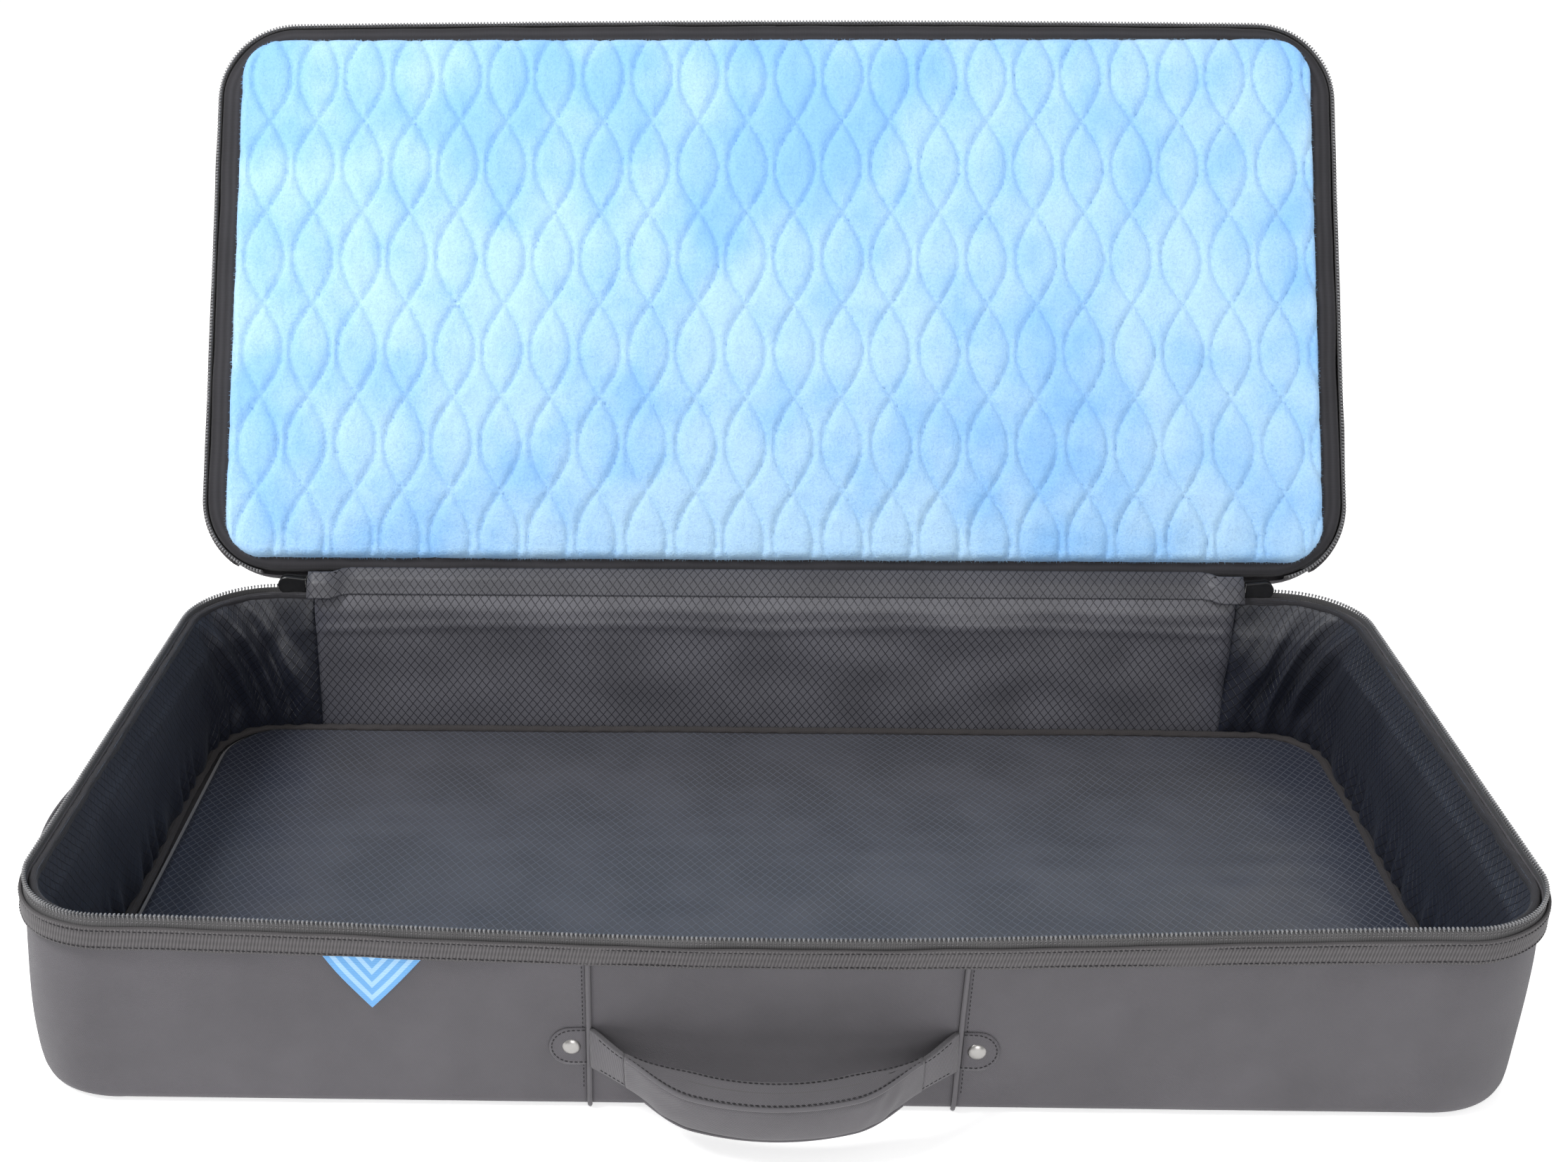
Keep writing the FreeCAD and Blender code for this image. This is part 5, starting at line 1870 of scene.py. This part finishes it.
    def rivet_cap(self, u: float) -> bpy.types.Mesh:
        """A domed cap with a rolled rim, turned about its own axis."""
        build = bmesh.new()
        section = ((0.0, 2.3), (1.8, 2.2), (3.4, 1.8), (4.6, 1.1), (5.2, 0.5), (5.4, 0.0), (5.0, -0.5))
        verts = [build.verts.new((radius * MM, 0.0, height * MM)) for radius, height in section]
        edges = [build.edges.new(pair) for pair in zip(verts, verts[1:])]
        bmesh.ops.spin(build, geom=verts + edges, cent=(0, 0, 0), axis=(0, 0, 1), angle=2 * math.pi,
                       steps=28, use_merge=True)
        bmesh.ops.remove_doubles(build, verts=build.verts, dist=0.01 * MM)
        bmesh.ops.recalc_face_normals(build, faces=build.faces)
        mesh = mesh_of("cap", build)
        points = read_points(mesh)
        seat = self.on_wall(np.array([u]), np.array([0.0]), 0.5 * MM)[0]
        frame_of = np.array(self.outwards().to_track_quat("Z", "Y").to_matrix())
        write_points(mesh, points @ frame_of.T + seat)
        return mesh


def densify(line: Array, pitch: float) -> Array:
    """More points along a line, evenly spaced."""
    length = np.concatenate([[0.0], np.cumsum(np.linalg.norm(np.diff(line, axis=0), axis=1))])
    even = np.linspace(0.0, length[-1], max(2, int(length[-1] / pitch)))
    return np.stack([np.interp(even, length, line[:, axis]) for axis in range(3)], axis=1)


@dataclass
class FrontDetails:
    """Piped seams beside the handle panel, their stitching, and the folded ribbon."""

    seam_x: float = HANDLE_SEAM_X
    tag_x: float = -222.0 * MM
    tag_half: float = 28.5 * MM
    tag_drop: float = 36.0 * MM

    def build(self) -> None:
        """Make the front's small soft pieces."""
        shell = TrayShell()
        top = BAND_LOW.z + 1.0 * MM
        pipes = []
        seams = []
        for side in (-1, 1):
            levels = np.linspace(top, 1.6 * MM, 60)
            along = np.full_like(levels, side * self.seam_x)
            turned_in = np.clip((9 * MM - levels) / (9 * MM), 0, 1) ** 2 * 4.0 * MM
            pipes.append(tube("pipe", shell.on_cloth(along, levels, 1.0 * MM - turned_in), 1.4 * MM))
            path = shell.on_cloth(along + side * 3.4 * MM, levels, 0.15 * MM)[:-6]
            seams.append(row_through("seam", bead(1.9 * MM, 0.6 * MM, 0.5 * MM, 0.0, 5), 3.1 * MM, path,
                                     Vector((0, -1, 0))))
        add_piece("front_seam_piping", joined("pipes", pipes), Cloth.WRAP, "tray",
                  ["handle_seam_piping"])
        add_piece("front_seam_stitches", joined("seams", seams), Cloth.THREAD, "tray")
        self.build_tag()

    def build_tag(self) -> None:
        """A ribbon folded to a point, standing slightly off the cloth."""
        mesh = flat_grid("tag", 36, 24)
        unit = read_points(mesh)
        share = 1.0 - unit[:, 1]
        drop = unit[:, 1] * self.tag_drop
        along = self.tag_x + (unit[:, 0] - 0.5) * 2 * self.tag_half * share - 2.0 * MM * unit[:, 1]
        height = BAND_LOW.z + 1.5 * MM - drop
        lift = 0.7 * MM + 1.3 * MM * np.sin(unit[:, 1] * math.pi) * (0.6 + 0.4 * np.cos(unit[:, 0] * 7.0))
        shell = TrayShell()
        layer = mesh.uv_layers["cloth"]
        flat = np.zeros(len(layer.data) * 2)
        layer.data.foreach_get("uv", flat)
        uv = flat.reshape(-1, 2)
        across = (uv[:, 0] - 0.5) * 2 * self.tag_half * (1 - uv[:, 1])
        uv = np.stack([across, uv[:, 1] * self.tag_drop], axis=1)
        layer.data.foreach_set("uv", uv.ravel())
        write_points(mesh, shell.on_cloth(along, height, 0.6 * MM + lift))
        merge(mesh, 0.05 * MM, outwards=False)
        piece = add_piece("folded_ribbon", thicken(mesh, 0.9 * MM, 0.0), Cloth.RIBBON,
                          "tray", ["side_tag"])


@dataclass
class Hardware:
    """Sliders and pulls, which stay the frame's own pieces."""

    def build(self) -> None:
        """Dress them and the short closed chain ends."""
        for side in ("left", "right"):
            dress(f"{side}_slider", Cloth.ENAMEL)
            dress(f"{side}_pull", Cloth.ENAMEL)
        dress("zipper_tails", Cloth.THREAD)


# ---- studio -------------------------------------------------------------------------------------
@dataclass
class Studio:
    """Pale floor, soft lights and the camera."""

    eye: Vector = field(default_factory=lambda: Vector((-0.016, -1.0635, 0.713)))
    pitch: float = math.radians(25.6)
    yaw: float = math.radians(1.54)
    roll: float = math.radians(0.30)
    lens: float = 42.93
    shift: tuple[float, float] = (0.0498, 0.0265)

    def build(self) -> None:
        """Make everything that isn't the bag."""
        self.build_floor()
        self.build_lights()
        self.build_camera()

    def build_floor(self) -> None:
        """A large, flat pale floor that also glows faintly."""
        graph = Graph("studio paper")
        graph.finish((0.90, 0.90, 0.90), 0.9, specular=0.1)
        graph.shader.inputs["Emission Color"].default_value = (1.0, 1.0, 1.0, 1.0)
        graph.shader.inputs["Emission Strength"].default_value = 0.55
        build = bmesh.new()
        bmesh.ops.create_grid(build, x_segments=1, y_segments=1, size=15.0)
        floor = bpy.data.objects.new("studio_floor", mesh_of("studio_floor", build))
        floor.data.materials.append(graph.material)
        bpy.context.scene.collection.objects.link(floor)

    def build_lights(self) -> None:
        """A big soft light from above and in front, a weaker one each side, and a pale sky."""
        lights = (
            ("key", (-1.7, -0.5, 2.5), 1.0, 58.0),
            ("front", (0.4, -3.0, 1.4), 1.5, 36.0),
            ("back", (0.9, 2.0, 2.2), 1.6, 16.0),
        )
        for name, place, size, power in lights:
            lamp = bpy.data.lights.new(name, "AREA")
            lamp.energy = power
            lamp.size = size
            holder = bpy.data.objects.new(name, lamp)
            holder.location = place
            aim = Vector((0.0, 0.05, 0.15)) - Vector(place)
            holder.rotation_euler = aim.to_track_quat("-Z", "Y").to_euler()
            bpy.context.scene.collection.objects.link(holder)
        world = bpy.data.worlds.new("studio")
        world.use_nodes = True
        world.node_tree.nodes["Background"].inputs[0].default_value = (1.0, 1.0, 1.0, 1.0)
        world.node_tree.nodes["Background"].inputs[1].default_value = 0.50
        bpy.context.scene.world = world
        bpy.context.scene.view_settings.view_transform = "Standard"

    def build_camera(self) -> None:
        """The camera in front of and above the bag."""
        look = Vector((0.0, math.cos(self.pitch), -math.sin(self.pitch)))
        turn = Matrix.Rotation(self.yaw, 3, "Z")
        forward = turn @ look
        right = turn @ Vector((1.0, 0.0, 0.0))
        down = forward.cross(right)
        rolled_right = math.cos(self.roll) * right + math.sin(self.roll) * down
        rolled_down = -math.sin(self.roll) * right + math.cos(self.roll) * down
        axes = Matrix((rolled_right, -rolled_down, -forward)).transposed()
        data = bpy.data.cameras.new("camera")
        data.lens = self.lens
        data.sensor_width = 36.0
        data.shift_x, data.shift_y = self.shift
        data.clip_end = 50.0
        camera = bpy.data.objects.new("camera", data)
        camera.matrix_world = Matrix.Translation(self.eye) @ axes.to_4x4()
        bpy.context.scene.collection.objects.link(camera)
        bpy.context.scene.camera = camera


def write_sizes() -> None:
    """Update the view layer."""
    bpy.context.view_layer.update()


def main() -> None:
    """Build the bag and the studio."""
    logging.basicConfig(level=logging.INFO)
    TrayShell().build()
    TrayFloor().build()
    Rim(TRAY, "tray", False, "tray",
        {"tape": "tray_zipper_tape", "facing": "trim_band", "coil": "tray_zipper_coil"}).build()
    RimBinding().build()
    LidShell().build()
    Rim(LID, "lid", True, "lid",
        {"tape": "lid_zipper_tape", "facing": "lid_trim_band", "coil": "lid_zipper_coil"},
        park=385 * MM, facing_park=409 * MM).build()
    LidPocket().build()
    shell = TrayShell()
    Handle("front_handle", 0.0, shell, 0.0).build()
    Handle("side_handle", -math.pi / 2, shell, TRAY.on_left(20 * MM)).build()
    FrontDetails().build()
    Hardware().build()
    Studio().build()
    write_sizes()


if __name__ == "__main__":
    main()
